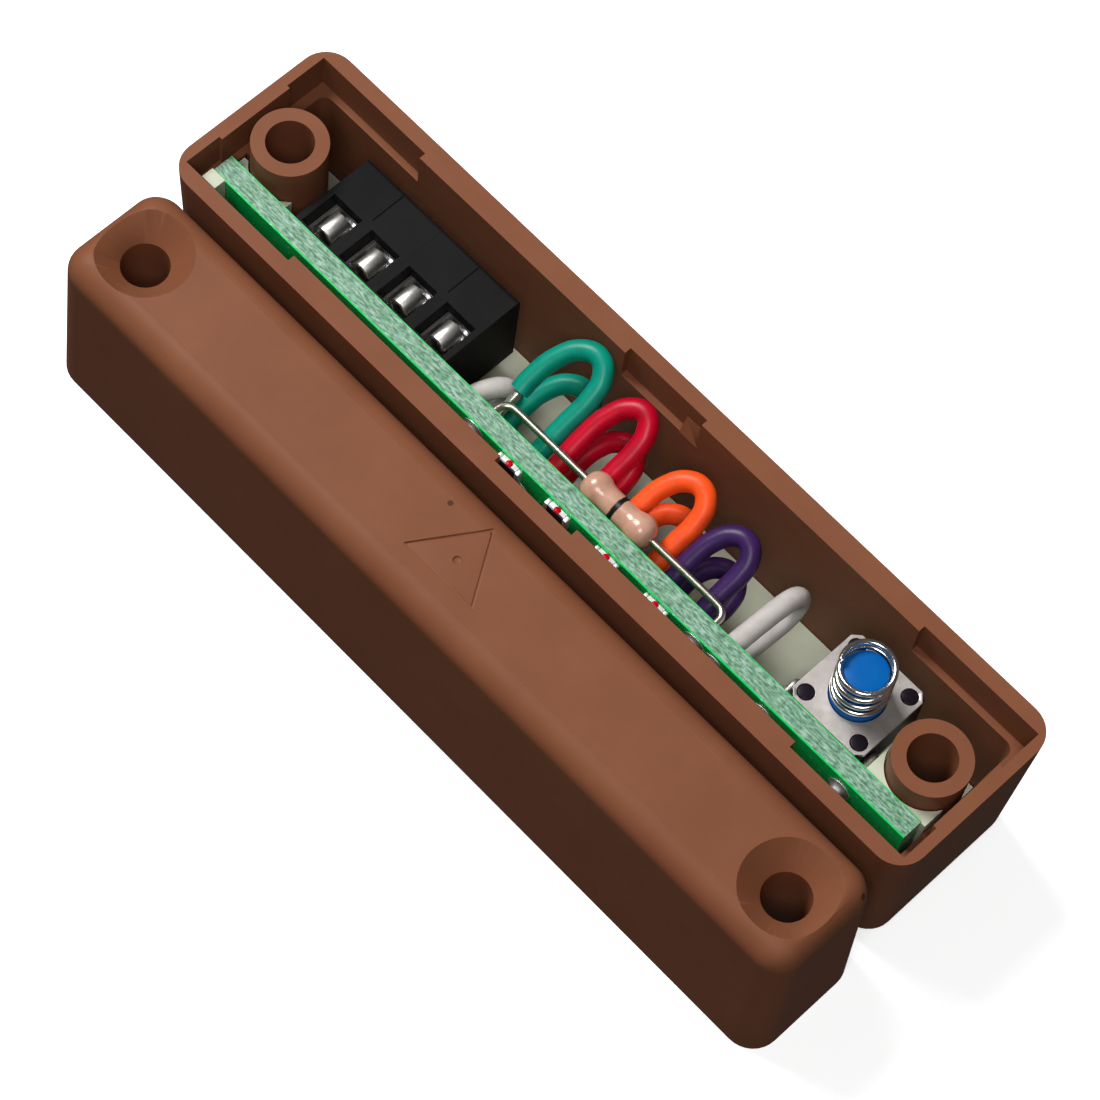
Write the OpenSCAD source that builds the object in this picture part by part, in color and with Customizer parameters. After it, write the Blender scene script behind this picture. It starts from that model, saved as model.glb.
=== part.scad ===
// Surface-mounted door contact sensor: a sensor half that lies on its face with its
// mounting side open, and a magnet half that travels with the door.
// X runs along both halves, +Y points from the magnet half to the sensor half, Z is up.

/* [Cases] */
// Length of both halves
case_length = 65; // [64:0.5:68]
// Height of both halves
case_height = 14; // [14:0.25:15]
// Width of the sensor half
sensor_width = 14; // [14:0.25:15]
// Width of the magnet half
magnet_width = 9.5; // [9:0.25:11]
// Gap between the two halves with the door shut
case_gap = 0.5; // [0.3:0.1:3]
// Radius of the rounded edges round each face
edge_r = 1.6; // [1.2:0.1:2]
// Radius of the upright corners
corner_r = 2.0; // [1.5:0.1:2.5]
// How far each wall leans in, from the open side to the face
draft = 0.45; // [0.1:0.05:0.5]

/* [Fixings] */
// Distance between the two screw holes of each half
screw_spacing = 57; // [56:0.25:57]
// Diameter of the screw holes
screw_hole_d = 3.2; // [3:0.1:3.4]
// Diameter of the countersinks
countersink_d = 6.4; // [6:0.1:6.6]
// Outer diameter of the screw bosses
boss_d = 5.1; // [4.8:0.1:5.1]

/* [Sensor tray] */
// Thickness of the long side walls
side_wall = 1.6; // [1.4:0.1:1.6]
// Thickness of the end walls
end_wall = 1.5; // [1.3:0.1:1.5]
// Thickness of the face
face_wall = 1.6; // [1.2:0.1:1.6]
// Depth of the recess for the back plate, below the rim
rebate_depth = 2.9; // [2:0.1:3]

/* [Circuit board] */
// Thickness of the board
board_thickness = 1.6; // [1.6:0.1:1.6]
// Distance from the front wall's outside to the board
board_setback = 2.6; // [2.6:0.1:2.7]
// Height of the board's top edge
board_top = 12.4; // [12.3:0.1:12.6]

/* [Terminals] */
// Distance between neighbouring terminals
terminal_pitch = 3.5; // [3.5:0.01:3.6]
// Travel of each clamp from open to tight
clamp_travel = 1.0; // [0.8:0.1:1]

/* [Wire loops] */
// Outer diameter of the wire insulation
wire_d = 1.4; // [1.2:0.1:1.4]
// Slope of the selector loops
loop_tilt = 30; // [25:1:32]

/* [Tamper switch] */
// Side of the square switch body
switch_side = 6; // [5.8:0.1:6]
// Height of the stem's top
stem_top = 15.6; // [15.4:0.1:16]
// Height of the spring's top
spring_top = 16.4; // [16.2:0.1:16.6]

/* [Hidden] */
$fn = 64;

cut = 0.5; // how far a cutting tool runs past the face that it opens
total_width = magnet_width + case_gap + sensor_width;
magnet_front_y = -total_width / 2;
sensor_front_y = magnet_front_y + magnet_width + case_gap;

// Sensor tray, measured from the outside of its front wall
half_length = case_length / 2;
inner_half_length = half_length - end_wall;
inner_back_y = sensor_width - side_wall;
boss_x = screw_spacing / 2;
boss_y = sensor_width / 2;
boss_r = boss_d / 2;
boss_gap = 0.1;
hole_r = screw_hole_d / 2;
countersink_r = countersink_d / 2;
countersink_depth = countersink_r - hole_r;
ledge_z = case_height - rebate_depth;
thin_side = 1.1;
thin_end = 0.75;
end_pad = 1.0;
pad_inner_x = 3.4;
pad_outer_x = 22.2;
end_pad_y = [3.9, 9.7];

// Circuit board
board_front = board_setback;
board_rear = board_front + board_thickness;
board_left = -30.9;
board_right = 30.6;
carrier_floor = 0.8;
carrier_top = face_wall + carrier_floor;

// Terminals, along the board's rear face
terminal_x0 = -25.1;
terminal_z = [5.2, 12];
terminal_depth = 6.7;
terminal_rear = board_rear + terminal_depth;
entry_half = 1.3;
entry_front = board_rear + 0.3;
entry_rear = board_rear + 3.2;
chamber_z = [5.9, 11.0];
clamp_z = [7.2, 10.6];
clamp_half = 1.25;
clamp_inner_half = 1.04;
clamp_foot = [entry_front + 0.05, entry_front + 0.45];
clamp_head = [board_rear + 3.55, board_rear + 4.15];
web_front = clamp_head[1] + clamp_travel + 0.05;
web_rear = web_front + 0.35;
screw_r = 1.0;
screw_head_r = 1.3;
screw_head_length = 0.9;
thread_clearance = 0.05;
bar_y = [board_rear + 2.0, board_rear + 2.55];
arch_r = 0.72;
arch_y = [board_rear + 1.1, board_rear + 2.75];
pin_half = 0.4;
pin_z = [6.1, 6.9];
clamp_mid_z = (clamp_z[0] + clamp_z[1]) / 2;

// Wire loops: left leg, right leg, how far out the bend reaches, height at the board
wire_r = wire_d / 2;
conductor_r = 0.3;
strip_y = board_rear + 0.45;
conductor_end_y = board_rear + 0.1;
upper_row_z = 8.8;
lower_row_z = 5.4;
green_loop = [-7.1, -3.45, 11.5];
red_loop = [-1.95, 1.0, 11.0];
orange_loop = [3.8, 7.0, 10.2];
purple_loop = [8.5, 11.3, 9.8];
lower_reach = 0.7;
selector_loops = [green_loop, red_loop, orange_loop, purple_loop];
// Upright loops: place along the board, heights of the two legs, how far the bend reaches
white_left = [-9.3, 9.2, 6.6, 7.6];
white_right = [14.6, 11.2, 7.8, 10.3];
white_start = board_rear + 0.15;

// Zero-ohm link and chip resistors
link_y = board_rear + 1.3;
link_z = 11.5;
link_x = [0.5, 6.3];
link_ends = [-6.7, 12.9];
link_lead_r = 0.25;
link_bend_r = 0.7;
chip_size = [2.0, 0.5, 1.25];
chip_x = [-3.2, 1.1, 5.4, 9.7];
chip_top = 12.2;
cap_length = 0.35;

// Reed switch, low on the board's rear face
reed_y = board_rear + 1.3;
reed_z = 3.75;
reed_length = 14;
reed_r = 1.1;
reed_bore_r = 0.75;
reed_seal = 1.2;
reed_lead_r = 0.25;
reed_ends = 9.5;
blade_gap = 0.04;
blade_thickness = 0.2;
blade_overlap = 0.7;

// Tamper switch
switch_x = 22.2;
switch_y = board_rear + 0.25 + switch_side / 2;
switch_z = [8.5, 11.7];
cover_thickness = 0.3;
cover_top = switch_z[1] + cover_thickness;
peg_spacing = 4.5;
peg_r = 0.55;
stem_r = 1.43;
flange_r = 1.78;
flange_top = cover_top + 0.45;
leg_x = 3.3;
leg_z = 10.9;
spring_wire_r = 0.19;
spring_r = 1.875 - spring_wire_r;
spring_turns = 4;

// Holes in the board for leads, as [x, z]
loop_holes = concat(
    [for (loop = selector_loops) for (z = [upper_row_z, lower_row_z])
        for (x = [loop[0], loop[1]]) [x, z]],
    [for (loop = [white_left, white_right]) for (z = [loop[1], loop[2]]) [loop[0], z]]);
link_holes = [for (x = link_ends) [x, link_z]];
reed_holes = [for (side = [-1, 1]) [side * reed_ends, reed_z]];
leg_holes = [for (side = [-1, 1]) [switch_x + side * leg_x, leg_z]];
round_holes = concat(loop_holes, link_holes, reed_holes, leg_holes);
lead_hole_r = 0.35;
pin_hole_half = pin_half + 0.05;
pin_tip_y = board_front - 0.35;

module at_sensor() { translate([0, sensor_front_y, 0]) children(); }

module at_magnet() { translate([0, magnet_front_y, 0]) children(); }

// A cylinder along +Y from start to end
module rod_y(x, start, end, z, r) {
    translate([x, start, z]) rotate([-90, 0, 0]) cylinder(h = end - start, r = r);
}

// A box given by its lowest and highest corners
module span(low, high) { translate(low) cube(high - low); }

// Rectangle with four rounded corners, centred on X
module plan_outline(length, width) {
    translate([-length / 2 + corner_r, 0]) square([length - 2 * corner_r, width]);
    translate([-length / 2, corner_r]) square([length, width - 2 * corner_r]);
    for (side = [-1, 1]) for (y = [corner_r, width - corner_r])
        translate([side * (length / 2 - corner_r), y]) circle(corner_r);
}

// Outline whose sides lean in and whose upper corners are rounded
module leaning_outline(width, height) {
    lean = atan(draft / height);
    centre = [(edge_r + (height - edge_r) * sin(lean)) / cos(lean), height - edge_r];
    touch = centre + edge_r * [-cos(lean), sin(lean)];
    polygon([[0, 0], [width, 0], [width - touch[0], touch[1]], [width - centre[0], height],
             [centre[0], height], touch]);
    for (x = [centre[0], width - centre[0]]) translate([x, centre[1]]) circle(edge_r);
}

// Block with a rounded top face and walls that lean in towards it
module rounded_block(length, width, height) {
    intersection() {
        linear_extrude(height) plan_outline(length, width);
        translate([-length / 2, 0, 0]) rotate([90, 0, 90])
            linear_extrude(length) leaning_outline(width, height);
        translate([-length / 2, width, 0]) rotate([90, 0, 0])
            linear_extrude(width) leaning_outline(length, height);
    }
}

module boss_bores() {
    for (side = [-1, 1]) translate([side * boss_x, boss_y, 0]) {
        translate([0, 0, -cut]) cylinder(h = case_height + 2 * cut, r = hole_r);
        cylinder(h = countersink_depth, r1 = countersink_r, r2 = hole_r);
        translate([0, 0, -cut]) cylinder(h = cut, r = countersink_r);
    }
}

// The open inside of the tray, with the stepped recess for a back plate
module tray_hollow() {
    top = case_height + cut;
    span([-inner_half_length, side_wall, face_wall], [inner_half_length, inner_back_y, top]);
    wide_y = [thin_side, sensor_width - thin_side];
    end_x = half_length - end_pad;
    span([-pad_inner_x, wide_y[0], ledge_z], [pad_inner_x, wide_y[1], top]);
    for (side = [0, 1]) mirror([side, 0, 0]) {
        span([pad_outer_x, wide_y[0], ledge_z], [end_x, wide_y[1], top]);
        span([pad_outer_x, wide_y[0], ledge_z], [half_length - thin_end, end_pad_y[0], top]);
        span([pad_outer_x, end_pad_y[1], ledge_z], [half_length - thin_end, wide_y[1], top]);
        span([inner_half_length - cut, end_pad_y[0], ledge_z], [end_x, end_pad_y[1], top]);
    }
}

// Small wedge that the back plate snaps over
module snap_wedge() {
    wedge_width = 1.5;
    wedge_height = 1.3;
    wedge_depth = 0.55;
    translate([pad_inner_x - wedge_width, sensor_width - thin_side, ledge_z])
        rotate([90, 0, 90]) linear_extrude(wedge_width)
            polygon([[0.05, 0], [-wedge_depth, 0], [-wedge_depth, 0.3], [0.05, wedge_height]]);
}

module sensor_housing() {
    web_y = [5.6, 8.2];
    color("saddlebrown") at_sensor() difference() {
        translate([0, 0, case_height]) mirror([0, 0, 1])
            rounded_block(case_length, sensor_width, case_height);
        difference() {
            tray_hollow();
            for (side = [-1, 1]) translate([side * boss_x, boss_y, 0])
                cylinder(h = case_height, r = boss_r);
            span([-half_length, web_y[0], 0], [-boss_x - 1.8, web_y[1], ledge_z]);
            snap_wedge();
        }
        boss_bores();
    }
}

// Posts at the two ends of the board, hollowed round the screw bosses
module inner_carrier() {
    floor_x = inner_half_length - 0.1;
    post_top = board_top - 0.4;
    rear_post_y = board_rear + 0.05;
    far_post_y = 5.3;
    near_post_y = 7.1;
    color("whitesmoke") at_sensor() difference() {
        union() {
            span([-floor_x, side_wall + 0.05, face_wall], [floor_x, inner_back_y - 0.05, carrier_top]);
            span([-floor_x, side_wall + 0.05, face_wall], [-29.7, board_front - 0.05, board_top + 0.3]);
            span([-floor_x, rear_post_y, face_wall], [-26.4, far_post_y, post_top - 1]);
            span([25.9, rear_post_y, face_wall], [floor_x, near_post_y, post_top]);
        }
        for (side = [-1, 1]) translate([side * boss_x, boss_y, 0])
            cylinder(h = case_height, r = boss_r + boss_gap);
        span([-floor_x - cut, 5.4, 0], [-boss_x, 8.4, case_height]);
    }
}

module circuit_board() {
    color("green") at_sensor() difference() {
        span([board_left, board_front, carrier_top], [board_right, board_rear, board_top]);
        for (hole = round_holes)
            rod_y(hole[0], board_front - cut, board_rear + cut, hole[1], lead_hole_r);
        for (way = [0:3])
            span([way_x(way) - pin_hole_half, board_front - cut, pin_z[0] - 0.05],
                 [way_x(way) + pin_hole_half, board_rear + cut, pin_z[1] + 0.05]);
    }
}

// Solder cones on the board's front face
module solder_joints() {
    cone_height = 0.5;
    color("silver") at_sensor() {
        for (hole = round_holes) difference() {
            translate([hole[0], board_front, hole[1]]) rotate([90, 0, 0])
                cylinder(h = cone_height, r1 = 0.75, r2 = 0.45);
            rod_y(hole[0], board_front - 1, board_front + cut, hole[1], lead_hole_r);
        }
        for (way = [0:3]) difference() {
            translate([way_x(way), board_front, (pin_z[0] + pin_z[1]) / 2]) rotate([90, 0, 0])
                cylinder(h = cone_height, r1 = 1.0, r2 = 0.7);
            span([way_x(way) - pin_hole_half, 0, pin_z[0] - 0.05],
                 [way_x(way) + pin_hole_half, board_rear, pin_z[1] + 0.05]);
        }
    }
}

function way_x(way) = terminal_x0 + (way + 0.5) * terminal_pitch;

// One two-way terminal module: wire entries on top, screw bores at the rear
module terminal_block(first_way) {
    left = terminal_x0 + first_way * terminal_pitch;
    at_sensor() difference() {
        span([left, board_rear, terminal_z[0]],
             [left + 2 * terminal_pitch, terminal_rear, terminal_z[1]]);
        for (way = [first_way, first_way + 1]) {
            x = way_x(way);
            span([x - entry_half, entry_front, chamber_z[0]],
                 [x + entry_half, entry_rear, terminal_z[1] + cut]);
            span([x - entry_half, entry_front, chamber_z[0]],
                 [x + entry_half, web_front, chamber_z[1]]);
            span([x - pin_hole_half, board_rear - cut, pin_z[0] - 0.05],
                 [x + pin_hole_half, entry_rear, pin_z[1] + 0.05]);
            rod_y(x, web_front - cut, terminal_rear + cut, clamp_mid_z, screw_r + thread_clearance);
            rod_y(x, web_rear, terminal_rear + cut, clamp_mid_z, screw_head_r + 0.1);
        }
    }
}

module terminal_block_left() { color("dimgray") terminal_block(0); }

module terminal_block_right() { color("dimgray") terminal_block(2); }

// Fixed bar in each terminal with an arched top and a pin to the board.
// The clamp ring presses the wire against it.
module contact_bars() {
    color("lightsteelblue") at_sensor() for (way = [0:3]) {
        x = way_x(way);
        span([x - arch_r, bar_y[0], chamber_z[0]], [x + arch_r, bar_y[1], clamp_z[1] + 0.2]);
        intersection() {
            rod_y(x, arch_y[0], arch_y[1], clamp_z[1] + 0.1, arch_r);
            span([x - arch_r, arch_y[0], clamp_z[1] + 0.1], [x + arch_r, arch_y[1], terminal_z[1]]);
        }
        span([x - pin_half, pin_tip_y, pin_z[0]], [x + pin_half, bar_y[1], pin_z[1]]);
    }
}

// Ring that climbs its screw and lifts the wire against the bar
module terminal_clamp(way) {
    x = way_x(way);
    color("gainsboro") at_sensor() difference() {
        span([x - clamp_half, clamp_foot[0], clamp_z[0]], [x + clamp_half, clamp_head[1], clamp_z[1]]);
        span([x - clamp_inner_half, clamp_foot[1], clamp_z[0] - cut],
             [x + clamp_inner_half, clamp_head[0], clamp_z[1] + cut]);
        rod_y(x, clamp_head[0] - cut, clamp_head[1] + cut, clamp_mid_z, screw_r + thread_clearance);
    }
}

// Captive clamp screw with a slotted head
module terminal_screw(way) {
    x = way_x(way);
    head_y = web_rear + 0.05;
    color("silver") at_sensor() difference() {
        union() {
            rod_y(x, bar_y[1] + 0.2, head_y + 0.1, clamp_mid_z, screw_r);
            rod_y(x, head_y, head_y + screw_head_length, clamp_mid_z, screw_head_r);
        }
        span([x - 2, head_y + 0.45, clamp_mid_z - 0.2], [x + 2, head_y + 2, clamp_mid_z + 0.2]);
    }
}

// Two straight legs joined by a half-round bend, flat in the XY plane
module wire_bow(leg_gap, leg_length) {
    for (side = [-1, 1]) rod_y(side * leg_gap / 2, 0, leg_length, 0, wire_r);
    translate([0, leg_length, 0]) rotate_extrude(angle = 180)
        translate([leg_gap / 2, 0]) circle(wire_r);
}

// Loop that slopes up from the board, cut to choose a resistor
module selector_loop(loop, reach, row_z) {
    gap = loop[1] - loop[0];
    slope_length = (reach - strip_y) / cos(loop_tilt);
    at_sensor() translate([loop[0] + gap / 2, strip_y, row_z]) rotate([loop_tilt, 0, 0])
        wire_bow(gap, slope_length - gap / 2);
}

module upper_loop(loop) { selector_loop(loop, loop[2], upper_row_z); }

module lower_loop(loop) { selector_loop(loop, loop[2] - lower_reach, lower_row_z); }

// Loop that stands upright, one leg above the other
module upright_loop(loop) {
    gap = loop[1] - loop[2];
    at_sensor() translate([loop[0], white_start, loop[2] + gap / 2]) rotate([0, 90, 0])
        wire_bow(gap, loop[3] - white_start - gap / 2);
}

module green_loop_upper() { color("lightseagreen") upper_loop(green_loop); }

module green_loop_lower() { color("lightseagreen") lower_loop(green_loop); }

module red_loop_upper() { color("crimson") upper_loop(red_loop); }

module red_loop_lower() { color("crimson") lower_loop(red_loop); }

module orange_loop_upper() { color("orangered") upper_loop(orange_loop); }

module orange_loop_lower() { color("orangered") lower_loop(orange_loop); }

module purple_loop_upper() { color("indigo") upper_loop(purple_loop); }

module purple_loop_lower() { color("indigo") lower_loop(purple_loop); }

module white_loop_left() { color("white") upright_loop(white_left); }

module white_loop_right() { color("white") upright_loop(white_right); }

// Bare ends of the loops, through the board
module loop_conductors() {
    color("silver") at_sensor() for (hole = loop_holes)
        rod_y(hole[0], pin_tip_y, conductor_end_y, hole[1], conductor_r);
}

// Waisted body along X with rounded ends
module link_resistor() {
    end_r = 1.15;
    waist_r = 0.95;
    bulb = 1.9;
    length = link_x[1] - link_x[0];
    color("tan") at_sensor() translate([link_x[0], link_y, link_z]) rotate([0, 90, 0])
        difference() {
            union() {
                translate([0, 0, bulb / 2]) cylinder(h = length - bulb, r = waist_r);
                for (z = [bulb / 2, length - bulb / 2]) translate([0, 0, z])
                    rotate_extrude() intersection() {
                        translate([end_r - bulb / 2, 0]) circle(bulb / 2);
                        translate([0, -bulb / 2]) square([end_r, bulb]);
                    }
                for (z = [0.25, length - bulb + 0.25]) translate([0, 0, z])
                    cylinder(h = bulb - 0.5, r = 0.75);
            }
            translate([0, 0, -cut]) cylinder(h = length + 2 * cut, r = link_lead_r + 0.02);
        }
}

// One lead from the middle of the resistor to its hole in the board
module link_lead(hole_x) {
    side = hole_x < link_x[0] ? -1 : 1;
    middle_x = (link_x[0] + link_x[1]) / 2;
    run = abs(hole_x - middle_x) - link_bend_r - 0.2;
    translate([middle_x + side * 0.2, link_y, link_z]) rotate([0, side * 90, 0])
        cylinder(h = run, r = link_lead_r);
    translate([hole_x - side * link_bend_r, link_y - link_bend_r, link_z])
        rotate([0, 0, side > 0 ? 0 : 90]) rotate_extrude(angle = 90)
            translate([link_bend_r, 0]) circle(link_lead_r);
    rod_y(hole_x, pin_tip_y, link_y - link_bend_r, link_z, link_lead_r);
}

module link_leads() {
    color("silver") at_sensor() for (hole = link_holes) link_lead(hole[0]);
}

module chip_resistors() {
    color("white") at_sensor() for (x = chip_x)
        span([x - chip_size[0] / 2 + cap_length, board_front - chip_size[1], chip_top - chip_size[2]],
             [x + chip_size[0] / 2 - cap_length, board_front, chip_top]);
}

module chip_caps() {
    color("silver") at_sensor() for (x = chip_x) for (side = [0, 1])
        translate([x, 0, 0]) mirror([side, 0, 0])
            span([chip_size[0] / 2 - cap_length, board_front - chip_size[1], chip_top - chip_size[2]],
                 [chip_size[0] / 2, board_front, chip_top]);
}

module adhesive_dots() {
    dot_r = 0.24;
    color("red") at_sensor() for (x = chip_x)
        translate([x, board_front - dot_r - 0.01, chip_top]) cylinder(h = 0.1, r = dot_r);
}

// Sealed glass tube along X, hollow inside
module reed_glass() {
    inner = reed_length - 2 * reed_seal;
    color("lightgreen") at_sensor() translate([0, reed_y, reed_z]) rotate([0, 90, 0])
        difference() {
            intersection() {
                cylinder(h = reed_length, r = reed_r, center = true);
                sphere(r = reed_length / 2 + 0.02);
            }
            cylinder(h = inner, r = reed_bore_r, center = true);
            cylinder(h = reed_length + 2, r = reed_lead_r + 0.01, center = true);
        }
}

// Round lead through one seal, bent to its hole in the board
module reed_wire(side) {
    bend = 0.7;
    start = reed_length / 2 - reed_seal;
    translate([side * start, reed_y, reed_z]) rotate([0, side * 90, 0])
        cylinder(h = reed_ends - start - bend, r = reed_lead_r);
    translate([side * (reed_ends - bend), reed_y - bend, reed_z])
        rotate([0, 0, side > 0 ? 0 : 90]) rotate_extrude(angle = 90)
            translate([bend, 0]) circle(reed_lead_r);
    rod_y(side * reed_ends, pin_tip_y, reed_y - bend, reed_z, reed_lead_r);
}

module reed_blade_fixed() {
    root_x = reed_length / 2 - reed_seal;
    color("silver") at_sensor() {
        reed_wire(-1);
        span([-root_x, reed_y - blade_gap / 2 - blade_thickness, reed_z - 0.5],
             [blade_overlap, reed_y - blade_gap / 2, reed_z + 0.5]);
    }
}

// Blade that springs away from the fixed one when the magnet leaves
module reed_blade_moving() {
    root_x = reed_length / 2 - reed_seal - 0.05;
    color("silver") at_sensor()
        span([-blade_overlap, reed_y + blade_gap / 2, reed_z - 0.5],
             [root_x, reed_y + blade_gap / 2 + blade_thickness, reed_z + 0.5]);
}

module reed_lead() { color("silver") at_sensor() reed_wire(1); }

// Places its children at the four corner pegs of the tamper switch
module at_pegs() {
    for (dx = [-1, 1]) for (dy = [-1, 1])
        translate([switch_x + dx * peg_spacing / 2, switch_y + dy * peg_spacing / 2, 0]) children();
}

module switch_base() {
    half = switch_side / 2;
    color([0.15, 0.13, 0.15]) at_sensor() {
        difference() {
            span([switch_x - half, switch_y - half, switch_z[0]],
                 [switch_x + half, switch_y + half, switch_z[1]]);
            translate([switch_x, switch_y, 9.2]) cylinder(h = 4, r = 2.45);
        }
        at_pegs() translate([0, 0, switch_z[1]]) cylinder(h = cover_thickness + 0.06, r = peg_r);
    }
}

module switch_cover() {
    half = switch_side / 2 + 0.05;
    color("gainsboro") at_sensor() difference() {
        span([switch_x - half, switch_y - half, switch_z[1]],
             [switch_x + half, switch_y + half, cover_top]);
        translate([switch_x, switch_y, 0]) cylinder(h = case_height, r = flange_r + 0.08);
        at_pegs() cylinder(h = case_height, r = peg_r + 0.03);
    }
}

// Thin domed disc under the stem that snaps down to close the contact
module switch_dome() {
    rim_r = 2.3;
    rise = 0.6;
    thickness = 0.1;
    dome_r = (rim_r * rim_r + rise * rise) / (2 * rise);
    base_z = 9.2;
    color("silver") at_sensor() translate([switch_x, switch_y, base_z]) intersection() {
        difference() {
            translate([0, 0, rise - dome_r]) sphere(r = dome_r);
            translate([0, 0, rise - dome_r]) sphere(r = dome_r - thickness);
        }
        cylinder(h = rise + 1, r = rim_r);
    }
}

// Two legs from the sides of the switch, through the board
module switch_legs() {
    half = switch_side / 2;
    color("silver") at_sensor() for (side = [-1, 1]) {
        x = switch_x + side * leg_x;
        inner_x = switch_x + side * half;
        rod_y(x, pin_tip_y, board_rear + 1.6, leg_z, 0.28);
        span([min(x, inner_x), board_rear + 1.0, leg_z - 1.2],
             [max(x, inner_x), board_rear + 2.0, leg_z + 0.2]);
    }
}

// Stepped stem: the wide foot is held under the cover, the shoulder carries the spring
module switch_stem() {
    color("dodgerblue") at_sensor() translate([switch_x, switch_y, 0]) {
        translate([0, 0, 9.85]) cylinder(h = 0.5, r = 0.8);
        translate([0, 0, 10.3]) cylinder(h = 0.8, r = 2.3);
        translate([0, 0, 10.3]) cylinder(h = flange_top - 10.3, r = flange_r);
        translate([0, 0, 10.3]) cylinder(h = stem_top - 10.3, r = stem_r);
    }
}

// Compression spring round the stem, swept as a closed tube along a helix
module tamper_spring() {
    sides = 10;
    steps_per_turn = 28;
    steps = spring_turns * steps_per_turn;
    foot = flange_top + spring_wire_r;
    head = spring_top - spring_wire_r;
    points = [for (i = [0:steps]) for (s = [0:sides - 1])
        let (turn = 360 * i / steps_per_turn,
             around = 360 * s / sides,
             r = spring_r + spring_wire_r * cos(around),
             z = foot + (head - foot) * i / steps + spring_wire_r * sin(around))
        [r * cos(turn), r * sin(turn), z]];
    walls = [for (i = [0:steps - 1]) for (s = [0:sides - 1])
        let (a = i * sides + s, b = i * sides + (s + 1) % sides)
        [a, a + sides, b + sides, b]];
    start_cap = [[for (s = [0:sides - 1]) s]];
    end_cap = [[for (s = [sides - 1:-1:0]) steps * sides + s]];
    color("lightsteelblue") at_sensor() translate([switch_x, switch_y, 0])
        polyhedron(points, concat(walls, start_cap, end_cap), convexity = 8);
}

// Magnet half
magnet_mid_y = magnet_width / 2;
pocket_half = 22;
pocket_y = [1.6, magnet_width - 1.6];
pocket_top = 12;
bar_size = [36, 5, 6];
bar_z = 4.4;
plate_thickness = 1.5;

// Faint triangle and dot that show which side faces the sensor half
module direction_mark() {
    base = 5.8;
    height = 4.6;
    line = 0.22;
    depth = 0.12;
    translate([0, magnet_mid_y - height / 3, case_height - depth]) {
        linear_extrude(depth + cut) difference() {
            polygon([[-base / 2, 0], [base / 2, 0], [0, height]]);
            polygon([[-base / 2 + 2 * line, line], [base / 2 - 2 * line, line], [0, height - 2.6 * line]]);
        }
        translate([0, height * 0.3, 0]) cylinder(h = depth + cut, r = 0.3);
    }
}

module magnet_housing() {
    color("saddlebrown") at_magnet() difference() {
        rounded_block(case_length, magnet_width, case_height);
        span([-pocket_half, pocket_y[0], -cut], [pocket_half, pocket_y[1], pocket_top]);
        for (side = [-1, 1]) translate([side * boss_x, magnet_mid_y, 0]) {
            translate([0, 0, -cut]) cylinder(h = case_height + 2 * cut, r = hole_r);
            translate([0, 0, case_height - countersink_depth])
                cylinder(h = countersink_depth, r1 = hole_r, r2 = countersink_r);
            translate([0, 0, case_height]) cylinder(h = cut, r = countersink_r);
        }
        direction_mark();
    }
}

module bar_magnet() {
    color("dimgray") at_magnet() translate([-bar_size[0] / 2, pocket_y[1] - 0.3 - bar_size[1], bar_z])
        cube(bar_size);
}

// Tray that holds the bar magnet against the side that faces the sensor half
module magnet_cradle() {
    clearance = 0.05;
    color("whitesmoke") at_magnet() difference() {
        span([-pocket_half + clearance, pocket_y[0] + clearance, plate_thickness + clearance],
             [pocket_half - clearance, pocket_y[1] - clearance, pocket_top - clearance]);
        translate([-bar_size[0] / 2 - clearance, pocket_y[1] - 0.3 - bar_size[1] - clearance, bar_z])
            cube([bar_size[0] + 2 * clearance, bar_size[1] + 2 * clearance, pocket_top]);
    }
}

module magnet_base_plate() {
    clearance = 0.05;
    color("saddlebrown") at_magnet()
        span([-pocket_half + clearance, pocket_y[0] + clearance, 0],
             [pocket_half - clearance, pocket_y[1] - clearance, plate_thickness]);
}

sensor_housing();
inner_carrier();
circuit_board();
solder_joints();
terminal_block_left();
terminal_block_right();
contact_bars();
terminal_clamp(0);  // terminal_clamp_1
terminal_clamp(1);  // terminal_clamp_2
terminal_clamp(2);  // terminal_clamp_3
terminal_clamp(3);  // terminal_clamp_4
terminal_screw(0);  // terminal_screw_1
terminal_screw(1);  // terminal_screw_2
terminal_screw(2);  // terminal_screw_3
terminal_screw(3);  // terminal_screw_4
green_loop_upper();
green_loop_lower();
red_loop_upper();
red_loop_lower();
orange_loop_upper();
orange_loop_lower();
purple_loop_upper();
purple_loop_lower();
white_loop_left();
white_loop_right();
loop_conductors();
link_resistor();
link_leads();
chip_resistors();
chip_caps();
adhesive_dots();
reed_glass();
reed_blade_fixed();
reed_blade_moving();
reed_lead();
switch_base();
switch_cover();
switch_dome();
switch_legs();
switch_stem();
tamper_spring();
magnet_housing();
bar_magnet();
magnet_cradle();
magnet_base_plate();
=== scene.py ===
"""Door contact sensor: an open sensor half with its circuit board, and a magnet half beside it.

All sizes in the classes are in millimetres, and become metres as each mesh is made. Only
the lamps' places and sizes and the floor's half width are in metres.
"""

import logging
import math
from collections.abc import Callable, Iterable, Sequence
from dataclasses import dataclass
from enum import Enum

import bmesh
import bpy
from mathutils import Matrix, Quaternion, Vector

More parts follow.
